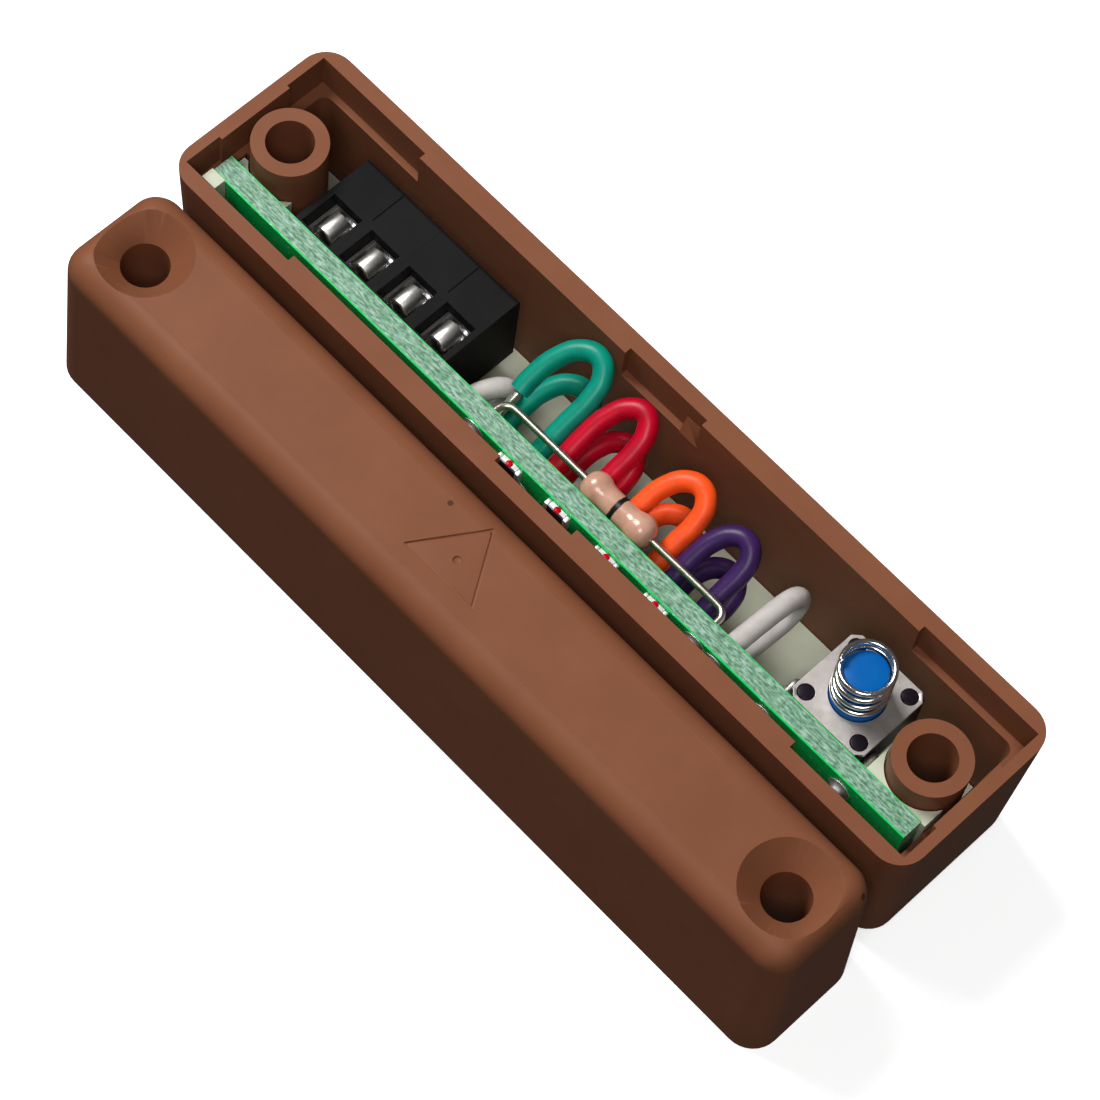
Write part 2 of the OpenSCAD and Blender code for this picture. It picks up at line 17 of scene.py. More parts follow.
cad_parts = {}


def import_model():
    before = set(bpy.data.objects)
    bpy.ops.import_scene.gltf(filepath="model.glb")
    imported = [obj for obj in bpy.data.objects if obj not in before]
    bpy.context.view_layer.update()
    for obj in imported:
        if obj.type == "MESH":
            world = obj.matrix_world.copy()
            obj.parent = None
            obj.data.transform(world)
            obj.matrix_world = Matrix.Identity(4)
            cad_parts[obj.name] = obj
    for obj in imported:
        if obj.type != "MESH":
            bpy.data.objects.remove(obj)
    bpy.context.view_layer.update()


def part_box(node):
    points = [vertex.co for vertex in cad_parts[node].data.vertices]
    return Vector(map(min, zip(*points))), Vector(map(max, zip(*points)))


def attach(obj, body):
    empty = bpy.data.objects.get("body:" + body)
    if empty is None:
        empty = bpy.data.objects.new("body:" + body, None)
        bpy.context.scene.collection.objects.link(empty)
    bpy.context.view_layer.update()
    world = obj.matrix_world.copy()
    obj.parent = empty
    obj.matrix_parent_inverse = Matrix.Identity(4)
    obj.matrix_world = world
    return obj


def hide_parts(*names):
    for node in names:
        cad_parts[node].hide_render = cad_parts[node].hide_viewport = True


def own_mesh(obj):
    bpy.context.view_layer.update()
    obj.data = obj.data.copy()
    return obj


LOG = logging.getLogger("door_contact_sensor")
MM = 0.001

Point = tuple[float, float, float]
Colour = tuple[float, float, float, float]
Box = tuple[Vector, Vector]
Piece = bpy.types.Object

WHITE: Colour = (1.0, 1.0, 1.0, 1.0)


class Axis(Enum):
    """The three directions that a turned piece can be made along."""

    X = (1.0, 0.0, 0.0)
    Y = (0.0, 1.0, 0.0)
    Z = (0.0, 0.0, 1.0)


class Joining(Enum):
    """What a tool piece does to the piece that it shapes."""

    CUTS = "DIFFERENCE"
    ADDS = "UNION"


class Body(Enum):
    """The bodies of the frame that new pieces ride on."""

    SENSOR = "sensor_half"
    MAGNET = "magnet_half"
    SPRING = "tamper_spring"
    PLUNGER = "switch_plunger"


def box_mm(node: str) -> Box:
    """Gives the box of a CAD node.

    Args:
        node: The node's name.

    Returns:
        Its lowest and highest corners in millimetres.
    """
    low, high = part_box(node)
    return Vector(low) / MM, Vector(high) / MM


def solid_boxes(node: str) -> list[Box]:
    """Finds the separate solids of a CAD node.

    Args:
        node: The node's name.

    Returns:
        The lowest and highest corners of each solid in millimetres, in order along X, Y and Z.
    """
    shape = bmesh.new()
    shape.from_mesh(bpy.data.objects[node].data)
    bmesh.ops.remove_doubles(shape, verts=shape.verts, dist=1e-7)
    unseen = set(shape.verts)
    boxes = []
    while unseen:
        pending = [unseen.pop()]
        places = []
        while pending:
            vertex = pending.pop()
            places.append(vertex.co / MM)
            for edge in vertex.link_edges:
                other = edge.other_vert(vertex)
                if other in unseen:
                    unseen.discard(other)
                    pending.append(other)
        low = Vector([min(place[i] for place in places) for i in range(3)])
        high = Vector([max(place[i] for place in places) for i in range(3)])
        boxes.append((low, high))
    shape.free()
    return sorted(boxes, key=lambda found: tuple(round(value, 2) for value in found[0]))


def stands(first: Vector, second: Vector) -> bool:
    """Tells whether an edge goes more than a millimetre up or down."""
    return abs(first.z - second.z) > 1


def lies_at(level: float) -> Callable[[Vector, Vector], bool]:
    """Makes the test for an edge that lies at one height.

    Args:
        level: The height.

    Returns:
        The test, which takes the edge's two ends.
    """
    return lambda first, second: max(abs(first.z - level), abs(second.z - level)) < 0.01


class Bench:
    """Modelling steps that all the pieces share, done with Blender's own operators."""

    @staticmethod
    def take(piece: Piece) -> None:
        """Makes one piece the only one that is selected, and the active one.

        Args:
            piece: The piece to work on.
        """
        bpy.ops.object.select_all(action="DESELECT")
        piece.select_set(True)
        bpy.context.view_layer.objects.active = piece

    @staticmethod
    def _placed(name: str) -> Piece:
        """Names the primitive that was just added and puts its place in its mesh.

        Args:
            name: The piece's name.

        Returns:
            The piece.
        """
        piece = bpy.context.object
        piece.name = name
        piece.data.name = name
        Bench.take(piece)
        bpy.ops.object.transform_apply(location=True, rotation=True, scale=True)
        return piece

    @staticmethod
    def block(name: str, low: Sequence[float], high: Sequence[float]) -> Piece:
        """Adds a box.

        Args:
            name: The piece's name.
            low: Its lowest corner.
            high: Its highest corner.

        Returns:
            The box.
        """
        low, high = Vector(low) * MM, Vector(high) * MM
        bpy.ops.object.select_all(action="DESELECT")
        bpy.ops.mesh.primitive_cube_add(size=1, location=(low + high) / 2, scale=high - low)
        return Bench._placed(name)

    @staticmethod
    def turned(
        name: str,
        start: Sequence[float],
        axis: Axis,
        profile: Sequence[tuple[float, float]],
        sides: int = 48,
    ) -> Piece:
        """Makes a round piece by drawing a disc along an axis and resizing it on the way.

        Args:
            name: The piece's name.
            start: The point on the axis that the profile is measured from.
            axis: The direction of the axis.
            profile: Distance along the axis and radius, from one end to the other.
            sides: How many sides the disc has.

        Returns:
            The closed piece.
        """
        along = Vector(axis.value)
        origin = Vector(start) * MM
        turn = Vector((0, 0, 1)).rotation_difference(along).to_euler()
        distance, radius = profile[0]
        bpy.ops.object.select_all(action="DESELECT")
        bpy.ops.mesh.primitive_circle_add(
            vertices=sides,
            radius=radius * MM,
            fill_type="NGON",
            location=origin + along * distance * MM,
            rotation=turn,
        )
        piece = Bench._placed(name)
        bpy.ops.object.mode_set(mode="EDIT")
        bpy.ops.mesh.select_mode(type="FACE")
        bpy.ops.mesh.select_all(action="SELECT")
        for next_distance, next_radius in profile[1:]:
            step = along * (next_distance - distance) * MM
            bpy.ops.mesh.extrude_region_move(TRANSFORM_OT_translate={"value": step})
            ratio = next_radius / radius
            bpy.ops.transform.resize(
                value=(ratio, ratio, ratio),
                center_override=origin + along * next_distance * MM,
            )
            distance, radius = next_distance, next_radius
        bpy.ops.mesh.select_all(action="SELECT")
        bpy.ops.mesh.normals_make_consistent(inside=False)
        bpy.ops.object.mode_set(mode="OBJECT")
        return piece

    @staticmethod
    def rod(
        name: str,
        start: Sequence[float],
        axis: Axis,
        length: float,
        radius: float,
        sides: int = 48,
    ) -> Piece:
        """Makes a plain round rod.

        Args:
            name: The piece's name.
            start: The middle of the rod's first end.
            axis: The direction of the axis.
            length: The rod's length.
            radius: The rod's radius.
            sides: How many sides the rod has.

        Returns:
            The rod.
        """
        return Bench.turned(name, start, axis, [(0.0, radius), (length, radius)], sides)

    @staticmethod
    def wire(
        name: str,
        points: Sequence[Sequence[float]],
        radius: float,
        smooth: bool = True,
        roundness: int = 5,
    ) -> Piece:
        """Draws a round wire along a path.

        Args:
            name: The piece's name.
            points: The middle of the wire, from end to end.
            radius: The wire's radius.
            smooth: True to run smoothly through the points, False to go straight between them.
            roundness: Steps in each quarter of the wire's section.

        Returns:
            The wire with closed ends, as a mesh.
        """
        bpy.ops.object.select_all(action="DESELECT")
        bpy.ops.curve.primitive_bezier_curve_add(location=(0, 0, 0))
        piece = bpy.context.object
        curve = piece.data
        curve.splines.clear()
        if smooth:
            spline = curve.splines.new("BEZIER")
            spline.bezier_points.add(len(points) - 1)
            for knot, place in zip(spline.bezier_points, points):
                knot.co = Vector(place) * MM
                knot.handle_left_type = knot.handle_right_type = "AUTO"
        else:
            spline = curve.splines.new("POLY")
            spline.points.add(len(points) - 1)
            for knot, place in zip(spline.points, points):
                knot.co = (*(Vector(place) * MM), 1.0)
        curve.dimensions = "3D"
        curve.resolution_u = 8
        curve.bevel_depth = radius * MM
        curve.bevel_resolution = roundness
        curve.use_fill_caps = True
        Bench.take(piece)
        bpy.ops.object.convert(target="MESH")
        piece = bpy.context.object
        piece.name = name
        piece.data.name = name
        bpy.ops.object.mode_set(mode="EDIT")
        bpy.ops.mesh.select_all(action="SELECT")
        bpy.ops.mesh.remove_doubles(threshold=1e-7)
        bpy.ops.mesh.normals_make_consistent(inside=False)
        bpy.ops.object.mode_set(mode="OBJECT")
        return piece

    @staticmethod
    def pick_edges(piece: Piece, chosen: Callable[[Vector, Vector], bool]) -> None:
        """Goes into edit mode with some edges selected.

        Args:
            piece: The piece to edit.
            chosen: Says of an edge's two ends in millimetres whether the edge is wanted.
        """
        Bench.take(piece)
        bpy.ops.object.mode_set(mode="EDIT")
        bpy.ops.mesh.select_mode(type="EDGE")
        bpy.ops.mesh.select_all(action="DESELECT")
        bpy.ops.object.mode_set(mode="OBJECT")
        corners = [vertex.co / MM for vertex in piece.data.vertices]
        for edge in piece.data.edges:
            first, second = edge.vertices
            edge.select = chosen(corners[first], corners[second])
        bpy.ops.object.mode_set(mode="EDIT")

    @staticmethod
    def round_edges(
        piece: Piece,
        chosen: Callable[[Vector, Vector], bool],
        radius: float,
        steps: int = 6,
    ) -> None:
        """Rounds some of a piece's edges.

        Args:
            piece: The piece to shape.
            chosen: Says of an edge's two ends whether the edge is rounded.
            radius: The radius of the rounding.
            steps: How many strips the rounding has.
        """
        Bench.pick_edges(piece, chosen)
        bpy.ops.mesh.bevel(offset=radius * MM, segments=steps, clamp_overlap=True)
        bpy.ops.object.mode_set(mode="OBJECT")

    @staticmethod
    def scale_end(piece: Piece, level: float, ratio: Point, centre: Sequence[float]) -> None:
        """Makes one end of an upright piece smaller.

        Args:
            piece: The piece to shape.
            level: The height of the end.
            ratio: The scale along each axis.
            centre: The point that stays.
        """
        Bench.pick_edges(piece, lies_at(level))
        bpy.ops.transform.resize(value=ratio, center_override=Vector(centre) * MM)
        bpy.ops.object.mode_set(mode="OBJECT")

    @staticmethod
    def shape(piece: Piece, tools: Iterable[Piece], joining: Joining) -> None:
        """Cuts tool pieces out of a piece, or adds them to it, and uses them up.

        Args:
            piece: The piece to shape.
            tools: The closed pieces to do it with.
            joining: What the tools do.
        """
        for tool in tools:
            Bench.take(piece)
            bpy.ops.object.modifier_add(type="BOOLEAN")
            step = piece.modifiers[-1]
            step.operation = joining.value
            step.solver = "EXACT"
            step.object = tool
            bpy.ops.object.modifier_apply(modifier=step.name)
            bpy.data.objects.remove(tool, do_unlink=True)

    @staticmethod
    def soften(piece: Piece, width: float, steps: int = 3, angle: float = 32.0) -> None:
        """Gives every sharp edge of a piece a small rounding, and shades it smoothly.

        Args:
            piece: The piece to finish.
            width: The width of the rounding, or 0 for shading only.
            steps: How many strips the rounding has.
            angle: Edges sharper than this are rounded, in degrees.
        """
        Bench.take(piece)
        if width > 0:
            bpy.ops.object.modifier_add(type="BEVEL")
            step = piece.modifiers[-1]
            step.width = width * MM
            step.segments = steps
            step.limit_method = "ANGLE"
            step.angle_limit = math.radians(angle)
            bpy.ops.object.modifier_apply(modifier=step.name)
        bpy.ops.object.shade_smooth_by_angle(angle=math.radians(angle + 8))
        bpy.ops.object.modifier_add(type="WEIGHTED_NORMAL")
        step = piece.modifiers[-1]
        step.keep_sharp = True
        bpy.ops.object.modifier_apply(modifier=step.name)

    @staticmethod
    def merge_flats(piece: Piece) -> None:
        """Joins neighbouring faces that lie in one plane, so that no sliver is rounded.

        Args:
            piece: The piece to clean.
        """
        Bench.take(piece)
        bpy.ops.object.mode_set(mode="EDIT")
        bpy.ops.mesh.select_all(action="SELECT")
        bpy.ops.mesh.remove_doubles(threshold=0.002 * MM)
        bpy.ops.mesh.dissolve_limited(angle_limit=math.radians(0.5))
        bpy.ops.object.mode_set(mode="OBJECT")

    @staticmethod
    def join(name: str, pieces: Sequence[Piece]) -> Piece:
        """Puts several meshes into one piece.

        Args:
            name: The name of the piece.
            pieces: The meshes.

        Returns:
            The piece.
        """
        bpy.ops.object.select_all(action="DESELECT")
        for piece in pieces:
            piece.select_set(True)
        bpy.context.view_layer.objects.active = pieces[0]
        if len(pieces) > 1:
            bpy.ops.object.join()
        joined = bpy.context.object
        joined.name = name
        joined.data.name = name
        return joined


class Recipe:
    """A material under construction, with the shader nodes that the finishes share."""

    def __init__(self, name: str) -> None:
        """Starts an empty material.

        Args:
            name: The material's name.
        """
        self.material = bpy.data.materials.new(name)
        self.material.use_nodes = True
        self.tree = self.material.node_tree
        self.tree.nodes.clear()
        self.place = self.add("ShaderNodeTexCoord").outputs["Object"]

    def add(self, kind: str, sockets: dict | None = None, **settings: object) -> bpy.types.Node:
        """Adds a node.

        Args:
            kind: The node's type.
            sockets: Values or links for its inputs, by name or number.
            settings: The node's own settings.

        Returns:
            The node.
        """
        node = self.tree.nodes.new(kind)
        for name, value in settings.items():
            setattr(node, name, value)
        for name, value in (sockets or {}).items():
            if isinstance(value, bpy.types.NodeSocket):
                self.tree.links.new(value, node.inputs[name])
            else:
                node.inputs[name].default_value = value
        return node

    def stretched(self, scale: Point) -> bpy.types.NodeSocket:
        """Gives the place on the piece with each axis scaled.

        Args:
            scale: The scale along each axis.

        Returns:
            The scaled place.
        """
        return self.add("ShaderNodeMapping", {"Vector": self.place, "Scale": scale}).outputs[0]

    def noise(
        self, size: float, detail: float = 3.0, stretch: Point = (1.0, 1.0, 1.0)
    ) -> bpy.types.NodeSocket:
        """Adds cloudy noise.

        Args:
            size: The size of its features in millimetres.
            detail: How much finer noise it holds.
            stretch: The scale of the place along each axis.

        Returns:
            A value from 0 to 1.
        """
        place = self.place if stretch == (1.0, 1.0, 1.0) else self.stretched(stretch)
        sockets = {"Vector": place, "Scale": 1 / (size * MM), "Detail": detail, "Roughness": 0.6}
        return self.add("ShaderNodeTexNoise", sockets).outputs[0]

    def specks(self, spacing: float, radius: float) -> bpy.types.NodeSocket:
        """Adds small scattered specks.

        Args:
            spacing: The distance between specks in millimetres.
            radius: The speck's radius as a share of the spacing.

        Returns:
            1 in a speck and 0 outside it.
        """
        sockets = {"Vector": self.place, "Scale": 1 / (spacing * MM)}
        cells = self.add("ShaderNodeTexVoronoi", sockets)
        return self.sum("LESS_THAN", cells.outputs["Distance"], radius)

    def sum(self, operation: str, first: object, second: object) -> bpy.types.NodeSocket:
        """Works out one number from two.

        Args:
            operation: The kind of sum.
            first: The first number or link.
            second: The second number or link.

        Returns:
            The result.
        """
        return self.add("ShaderNodeMath", {0: first, 1: second}, operation=operation).outputs[0]

    def span(
        self, value: bpy.types.NodeSocket, low: float, high: float,
        from_low: float = 0.0, from_high: float = 1.0,
    ) -> bpy.types.NodeSocket:
        """Moves a value from one range to another.

        Args:
            value: The value.
            low: The result at the range's low end.
            high: The result at the range's high end.
            from_low: The low end of the value's range.
            from_high: The high end of the value's range.

        Returns:
            The new value.
        """
        sockets = {"Value": value, "From Min": from_low, "From Max": from_high,
                   "To Min": low, "To Max": high}
        return self.add("ShaderNodeMapRange", sockets).outputs[0]

    def ramp(
        self, value: bpy.types.NodeSocket, stops: Sequence[tuple[float, Colour]]
    ) -> bpy.types.NodeSocket:
        """Turns a value into a colour.

        Args:
            value: A value from 0 to 1.
            stops: The values that have a colour of their own, in order.

        Returns:
            The colour.
        """
        node = self.add("ShaderNodeValToRGB", {0: value})
        elements = node.color_ramp.elements
        while len(elements) < len(stops):
            elements.new(1.0)
        for element, (position, colour) in zip(elements, stops):
            element.position = position
            element.color = colour
        return node.outputs[0]

    def mix(self, share: object, first: object, second: object) -> bpy.types.NodeSocket:
        """Mixes two colours.

        Args:
            share: How much of the second colour is used.
            first: The first colour or link.
            second: The second colour or link.

        Returns:
            The mixed colour.
        """
        node = self.add("ShaderNodeMix", {"Factor": share, 6: first, 7: second}, data_type="RGBA")
        return node.outputs[2]

    def bump(self, height: bpy.types.NodeSocket, depth: float) -> bpy.types.NodeSocket:
        """Makes a relief from a height.

        Args:
            height: The height from 0 to 1.
            depth: The depth of the relief in millimetres.

        Returns:
            The normal.
        """
        sockets = {"Height": height, "Distance": depth * MM, "Strength": 1.0}
        return self.add("ShaderNodeBump", sockets).outputs[0]

    def wavy(self, value: bpy.types.NodeSocket) -> bpy.types.NodeSocket:
        """Makes a value in millimetres slightly uneven, so that an edge on it isn't ruled.

        Args:
            value: The value.

        Returns:
            The uneven value.
        """
        return self.sum("ADD", value, self.span(self.noise(0.5, 2.0), -0.05, 0.05))

    def surface(self, sockets: dict) -> None:
        """Ends the material with its shader.

        Args:
            sockets: Values or links for the shader's inputs.
        """
        shader = self.add("ShaderNodeBsdfPrincipled", sockets)
        self.add("ShaderNodeOutputMaterial", {"Surface": shader.outputs[0]})

    def level(self, axis: Axis) -> bpy.types.NodeSocket:
        """Gives the place along one axis in millimetres."""
        parts = self.add("ShaderNodeSeparateXYZ", {0: self.place})
        return self.sum("MULTIPLY", parts.outputs[axis.name], 1 / MM)

    def beyond(self, value: bpy.types.NodeSocket, edge: float, above: bool = True,
               blur: float = 0.02) -> bpy.types.NodeSocket:
        """Marks where a value passes an edge.

        Args:
            value: The value.
            edge: The edge.
            above: True to mark values above it, False to mark those below.
            blur: The width of the soft step.

        Returns:
            1 past the edge and 0 before it.
        """
        low, high = (0.0, 1.0) if above else (1.0, 0.0)
        return self.span(value, low, high, edge - blur, edge + blur)


@dataclass(frozen=True)
class Finish:
    """A named finish that makes its material when it is first used."""

    name: str

    def material(self) -> bpy.types.Material:
        """Gives the finish's material, made once."""
        made = bpy.data.materials.get(self.name)
        if made is None:
            recipe = Recipe(self.name)
            self.mix_into(recipe)
            made = recipe.material
        return made

    def mix_into(self, recipe: Recipe) -> None:
        """Adds the finish's nodes.

        Args:
            recipe: The material to fill.
        """
        raise NotImplementedError

    def dress(self, piece: Piece) -> None:
        """Gives a piece this finish all over.

        Args:
            piece: A new piece, or the object of a CAD node.
        """
        if piece.data.materials:
            for number in range(len(piece.data.materials)):
                piece.data.materials[number] = self.material()
        else:
            piece.data.materials.append(self.material())


@dataclass(frozen=True)
class MouldedPlastic(Finish):
    """Satin moulded plastic with a fine spark-eroded grain and faint flow clouds."""

    tone: Colour
    cloud: Colour
    roughness: float = 0.46
    grain: float = 0.16
    relief: float = 0.004
    dust: float = 0.0
    gloss: float = 0.12

    def mix_into(self, recipe: Recipe) -> None:
        """Adds the finish's nodes.

        Args:
            recipe: The material to fill.
        """
        clouds = recipe.noise(5.0, 4.0)
        grain = recipe.noise(self.grain, 2.0)
        colour = recipe.ramp(clouds, [(0.30, self.cloud), (0.68, self.tone)])
        if self.dust > 0:
            dark = tuple(value * 0.35 for value in self.tone[:3]) + (1.0,)
            colour = recipe.mix(recipe.specks(self.dust, 0.028), colour, dark)
        rough = recipe.span(grain, self.roughness - 0.07, self.roughness + 0.09)
        recipe.surface({
            "Base Color": colour,
            "Roughness": rough,
            "Normal": recipe.bump(grain, self.relief),
            "Specular IOR Level": self.gloss,
        })


@dataclass(frozen=True)
class SolderMask(Finish):
    """Glass-fibre board: green mask on both faces, pale sawn edges with glass bundles showing."""

    front: float
    rear: float
    mask: Colour
    mask_light: Colour
    laminate: Colour
    bundle: Colour
    bundle_light: Colour = (0.36, 0.54, 0.42, 1.0)
    weave_tint: Colour = (0.36, 0.62, 0.42, 1.0)
    front_skin: float = 0.12
    rear_skin: float = 0.06

    def mix_into(self, recipe: Recipe) -> None:
        """Adds the finish's nodes.

        Args:
            recipe: The material to fill.
        """
        depth = recipe.level(Axis.Y)
        speckle = recipe.noise(0.28, 4.0, (0.7, 1.0, 1.0))
        weave = recipe.noise(0.9, 5.0)
        face = recipe.ramp(
            speckle, [(0.30, self.mask), (0.60, self.mask), (0.74, self.mask_light)]
        )
        bundles = recipe.noise(0.2, 3.0, (0.38, 1.35, 1.0))
        edge = recipe.ramp(
            bundles, [(0.36, self.bundle), (0.47, self.laminate), (0.62, self.bundle_light)]
        )
        wide = recipe.ramp(weave, [(0.35, self.weave_tint), (0.62, WHITE)])
        edge = recipe.add("ShaderNodeMix", {"Factor": 0.6, 6: edge, 7: wide},
                          data_type="RGBA", blend_type="MULTIPLY").outputs[2]
        near = recipe.wavy(depth)
        skin = recipe.sum(
            "MAXIMUM",
            recipe.beyond(near, self.front + self.front_skin, above=False, blur=0.05),
            recipe.beyond(near, self.rear - self.rear_skin, blur=0.05),
        )
        colour = recipe.mix(skin, edge, face)
        recipe.surface({
            "Base Color": colour,
            "Roughness": recipe.span(skin, 0.5, 0.24),
            "Normal": recipe.bump(recipe.sum("ADD", speckle, bundles), 0.012),
            "Coat Weight": 0.15,
            "Coat Roughness": 0.15,
        })


@dataclass(frozen=True)
class PlatedMetal(Finish):
    """Bare or plated metal with fine drawn streaks and a little tarnish."""

    tone: Colour
    tarnish: Colour
    roughness: float = 0.22
    streak: Point = (1.0, 1.0, 1.0)

    def mix_into(self, recipe: Recipe) -> None:
        """Adds the finish's nodes.

        Args:
            recipe: The material to fill.
        """
        streaks = recipe.noise(0.12, 3.0, self.streak)
        stains = recipe.noise(0.9, 4.0)
        colour = recipe.ramp(stains, [(0.34, self.tarnish), (0.56, self.tone)])
        rough = recipe.span(streaks, self.roughness - 0.08, self.roughness + 0.14)
        recipe.surface({
            "Base Color": colour,
            "Metallic": 1.0,
            "Roughness": rough,
            "Normal": recipe.bump(streaks, 0.003),
        })


@dataclass(frozen=True)
class WireInsulation(Finish):
    """Soft vinyl on a wire, with handling marks and a waxy gloss."""

    tone: Colour
    deep: Colour
    roughness: float = 0.34

    def mix_into(self, recipe: Recipe) -> None:
        """Adds the finish's nodes.

        Args:
            recipe: The material to fill.
        """
        clouds = recipe.noise(1.4, 4.0)
        grain = recipe.noise(0.14, 2.0)
        recipe.surface({
            "Base Color": recipe.ramp(clouds, [(0.28, self.deep), (0.55, self.tone)]),
            "Roughness": recipe.span(clouds, self.roughness + 0.1, self.roughness - 0.06),
            "Specular IOR Level": 0.3,
            "Normal": recipe.bump(grain, 0.006),
            "Subsurface Weight": 0.06,
            "Subsurface Radius": (0.6 * MM, 0.4 * MM, 0.3 * MM),
        })


@dataclass(frozen=True)
class BandedLacquer(Finish):
    """Beige lacquer of the zero-ohm link, with one black band round its waist."""

    tone: Colour
    deep: Colour
    middle: float
    half_band: float = 0.18

    def mix_into(self, recipe: Recipe) -> None:
        """Adds the finish's nodes.

        Args:
            recipe: The material to fill.
        """
        clouds = recipe.noise(0.8, 4.0)
        body = recipe.ramp(clouds, [(0.3, self.deep), (0.6, self.tone)])
        along = recipe.sum("SUBTRACT", recipe.level(Axis.X), self.middle)
        edge = recipe.wavy(recipe.sum("ABSOLUTE", along, 0.0))
        band = recipe.beyond(edge, self.half_band, above=False, blur=0.03)
        recipe.surface({
            "Base Color": recipe.mix(band, body, (0.008, 0.006, 0.006, 1.0)),
            "Roughness": recipe.span(clouds, 0.24, 0.36),
            "Normal": recipe.bump(clouds, 0.02),
            "Coat Weight": 0.4,
            "Coat Roughness": 0.12,
        })


@dataclass(frozen=True)
class ChipCeramic(Finish):
    """White alumina chip with a black film on the face that looks away from the board."""

    film_depth: float

    def mix_into(self, recipe: Recipe) -> None:
        """Adds the finish's nodes.

        Args:
            recipe: The material to fill.
        """
        grain = recipe.noise(0.2, 3.0)
        body = recipe.ramp(grain, [(0.3, (0.55, 0.57, 0.56, 1.0)), (0.6, (0.84, 0.86, 0.85, 1.0))])
        film = recipe.beyond(recipe.level(Axis.Y), self.film_depth, above=False, blur=0.02)
        recipe.surface({
            "Base Color": recipe.mix(film, body, (0.012, 0.011, 0.014, 1.0)),
            "Roughness": recipe.span(grain, 0.25, 0.4),
            "Normal": recipe.bump(grain, 0.006),
        })


@dataclass(frozen=True)
class TubeGlass(Finish):
    """Green-tinted glass of the reed switch."""

    tint: Colour

    def mix_into(self, recipe: Recipe) -> None:
        """Adds the finish's nodes.

        Args:
            recipe: The material to fill.
        """
        ripples = recipe.noise(0.8, 2.0)
        deep = tuple(value * 0.85 for value in self.tint[:3]) + (1.0,)
        recipe.surface({
            "Base Color": recipe.ramp(ripples, [(0.3, deep), (0.6, self.tint)]),
            "Roughness": recipe.span(ripples, 0.04, 0.1),
            "Normal": recipe.bump(ripples, 0.004),
            "Transmission Weight": 0.85,
            "IOR": 1.5,
        })


class Finishes:
    """Every finish of the sensor, made once and shared."""

    case = MouldedPlastic(
        "case_brown_look", (0.222, 0.081, 0.039, 1), (0.198, 0.070, 0.033, 1), dust=9.0
    )
    # The carrier's greenish tone is partly painted light: green light thrown back from the board,
    # painted into the colour of the off-white plastic.
    carrier = MouldedPlastic(
        "carrier_look", (0.62, 0.64, 0.50, 1), (0.52, 0.54, 0.42, 1), 0.42, 0.2, 0.005
    )
    terminal = MouldedPlastic(
        "terminal_look", (0.012, 0.0115, 0.0115, 1), (0.008, 0.008, 0.008, 1),
        0.5, 0.14, 0.005, gloss=0.06,
    )
    base = MouldedPlastic(
        "switch_base_look", (0.012, 0.008, 0.014, 1), (0.008, 0.005, 0.009, 1), 0.35, 0.14, 0.005
    )
    stem = MouldedPlastic(
        "stem_look", (0.0, 0.115, 0.41, 1), (0.0, 0.095, 0.35, 1), 0.4, 0.14, 0.004
    )
    adhesive = MouldedPlastic(
        "adhesive_look", (0.60, 0.0, 0.012, 1), (0.45, 0.0, 0.01, 1), 0.25, 0.1, 0.004
    )
    sintered = MouldedPlastic(
        "sintered_look", (0.10, 0.10, 0.11, 1), (0.06, 0.06, 0.065, 1), 0.6, 0.1, 0.02
    )
    green = WireInsulation("green_wire_look", (0.0, 0.28, 0.19, 1), (0.0, 0.22, 0.155, 1))
    red = WireInsulation("red_wire_look", (0.54, 0.0, 0.020, 1), (0.40, 0.0, 0.016, 1))
    orange = WireInsulation(
        "orange_wire_look", (1.0, 0.095, 0.012, 1), (0.85, 0.07, 0.008, 1), 0.4
    )
    purple = WireInsulation("purple_wire_look", (0.045, 0.014, 0.095, 1), (0.03, 0.01, 0.065, 1))
    white = WireInsulation("white_wire_look", (0.56, 0.52, 0.49, 1), (0.46, 0.42, 0.40, 1), 0.42)
    tinned = PlatedMetal(
        "tinned_copper_look", (0.74, 0.72, 0.62, 1), (0.52, 0.50, 0.40, 1), 0.28, (0.2, 1.0, 1.0)
    )
    plated = PlatedMetal(
        "plated_look", (0.82, 0.80, 0.76, 1), (0.72, 0.69, 0.64, 1), 0.36, (1.0, 1.0, 0.15)
    )
    solder = PlatedMetal("solder_look", (0.86, 0.86, 0.84, 1), (0.78, 0.78, 0.75, 1), 0.48)
    spring = PlatedMetal("spring_wire_look", (0.86, 0.84, 0.84, 1), (0.70, 0.68, 0.68, 1), 0.13)
    cover = PlatedMetal(
        "switch_plate_look", (0.64, 0.59, 0.56, 1), (0.54, 0.50, 0.47, 1), 0.42, (1.0, 0.2, 1.0)
    )
    screw = PlatedMetal("screw_look", (0.70, 0.70, 0.72, 1), (0.50, 0.50, 0.50, 1), 0.28)
    alloy = PlatedMetal(
        "reed_alloy_look", (0.72, 0.71, 0.70, 1), (0.58, 0.57, 0.56, 1), 0.3, (0.15, 1.0, 1.0)
    )
    glass = TubeGlass("reed_glass_look", (0.55, 0.86, 0.62, 1))


def settle(
    piece: Piece, finish: Finish, body: str, nodes: Sequence[str]
) -> Piece:
    """Dresses a new piece and says what it rides on and stands for.

    Args:
        piece: The new piece.
        finish: Its finish.
        body: The body that it rides on.
        nodes: The CAD nodes that it stands for.

    Returns:
        The piece.
    """
    finish.dress(piece)
    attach(piece, body)
    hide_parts(*nodes)
    LOG.info("made %s: %d faces, rides on %s", piece.name, len(piece.data.polygons), body)
    return piece


def dress_node(node: str, finish: Finish) -> None:
    """Gives a CAD node a finish and leaves its shape alone.

    Args:
        node: The node's name.
        finish: The finish.
    """
    finish.dress(bpy.data.objects[node])
    LOG.info("dressed %s with %s", node, finish.name)


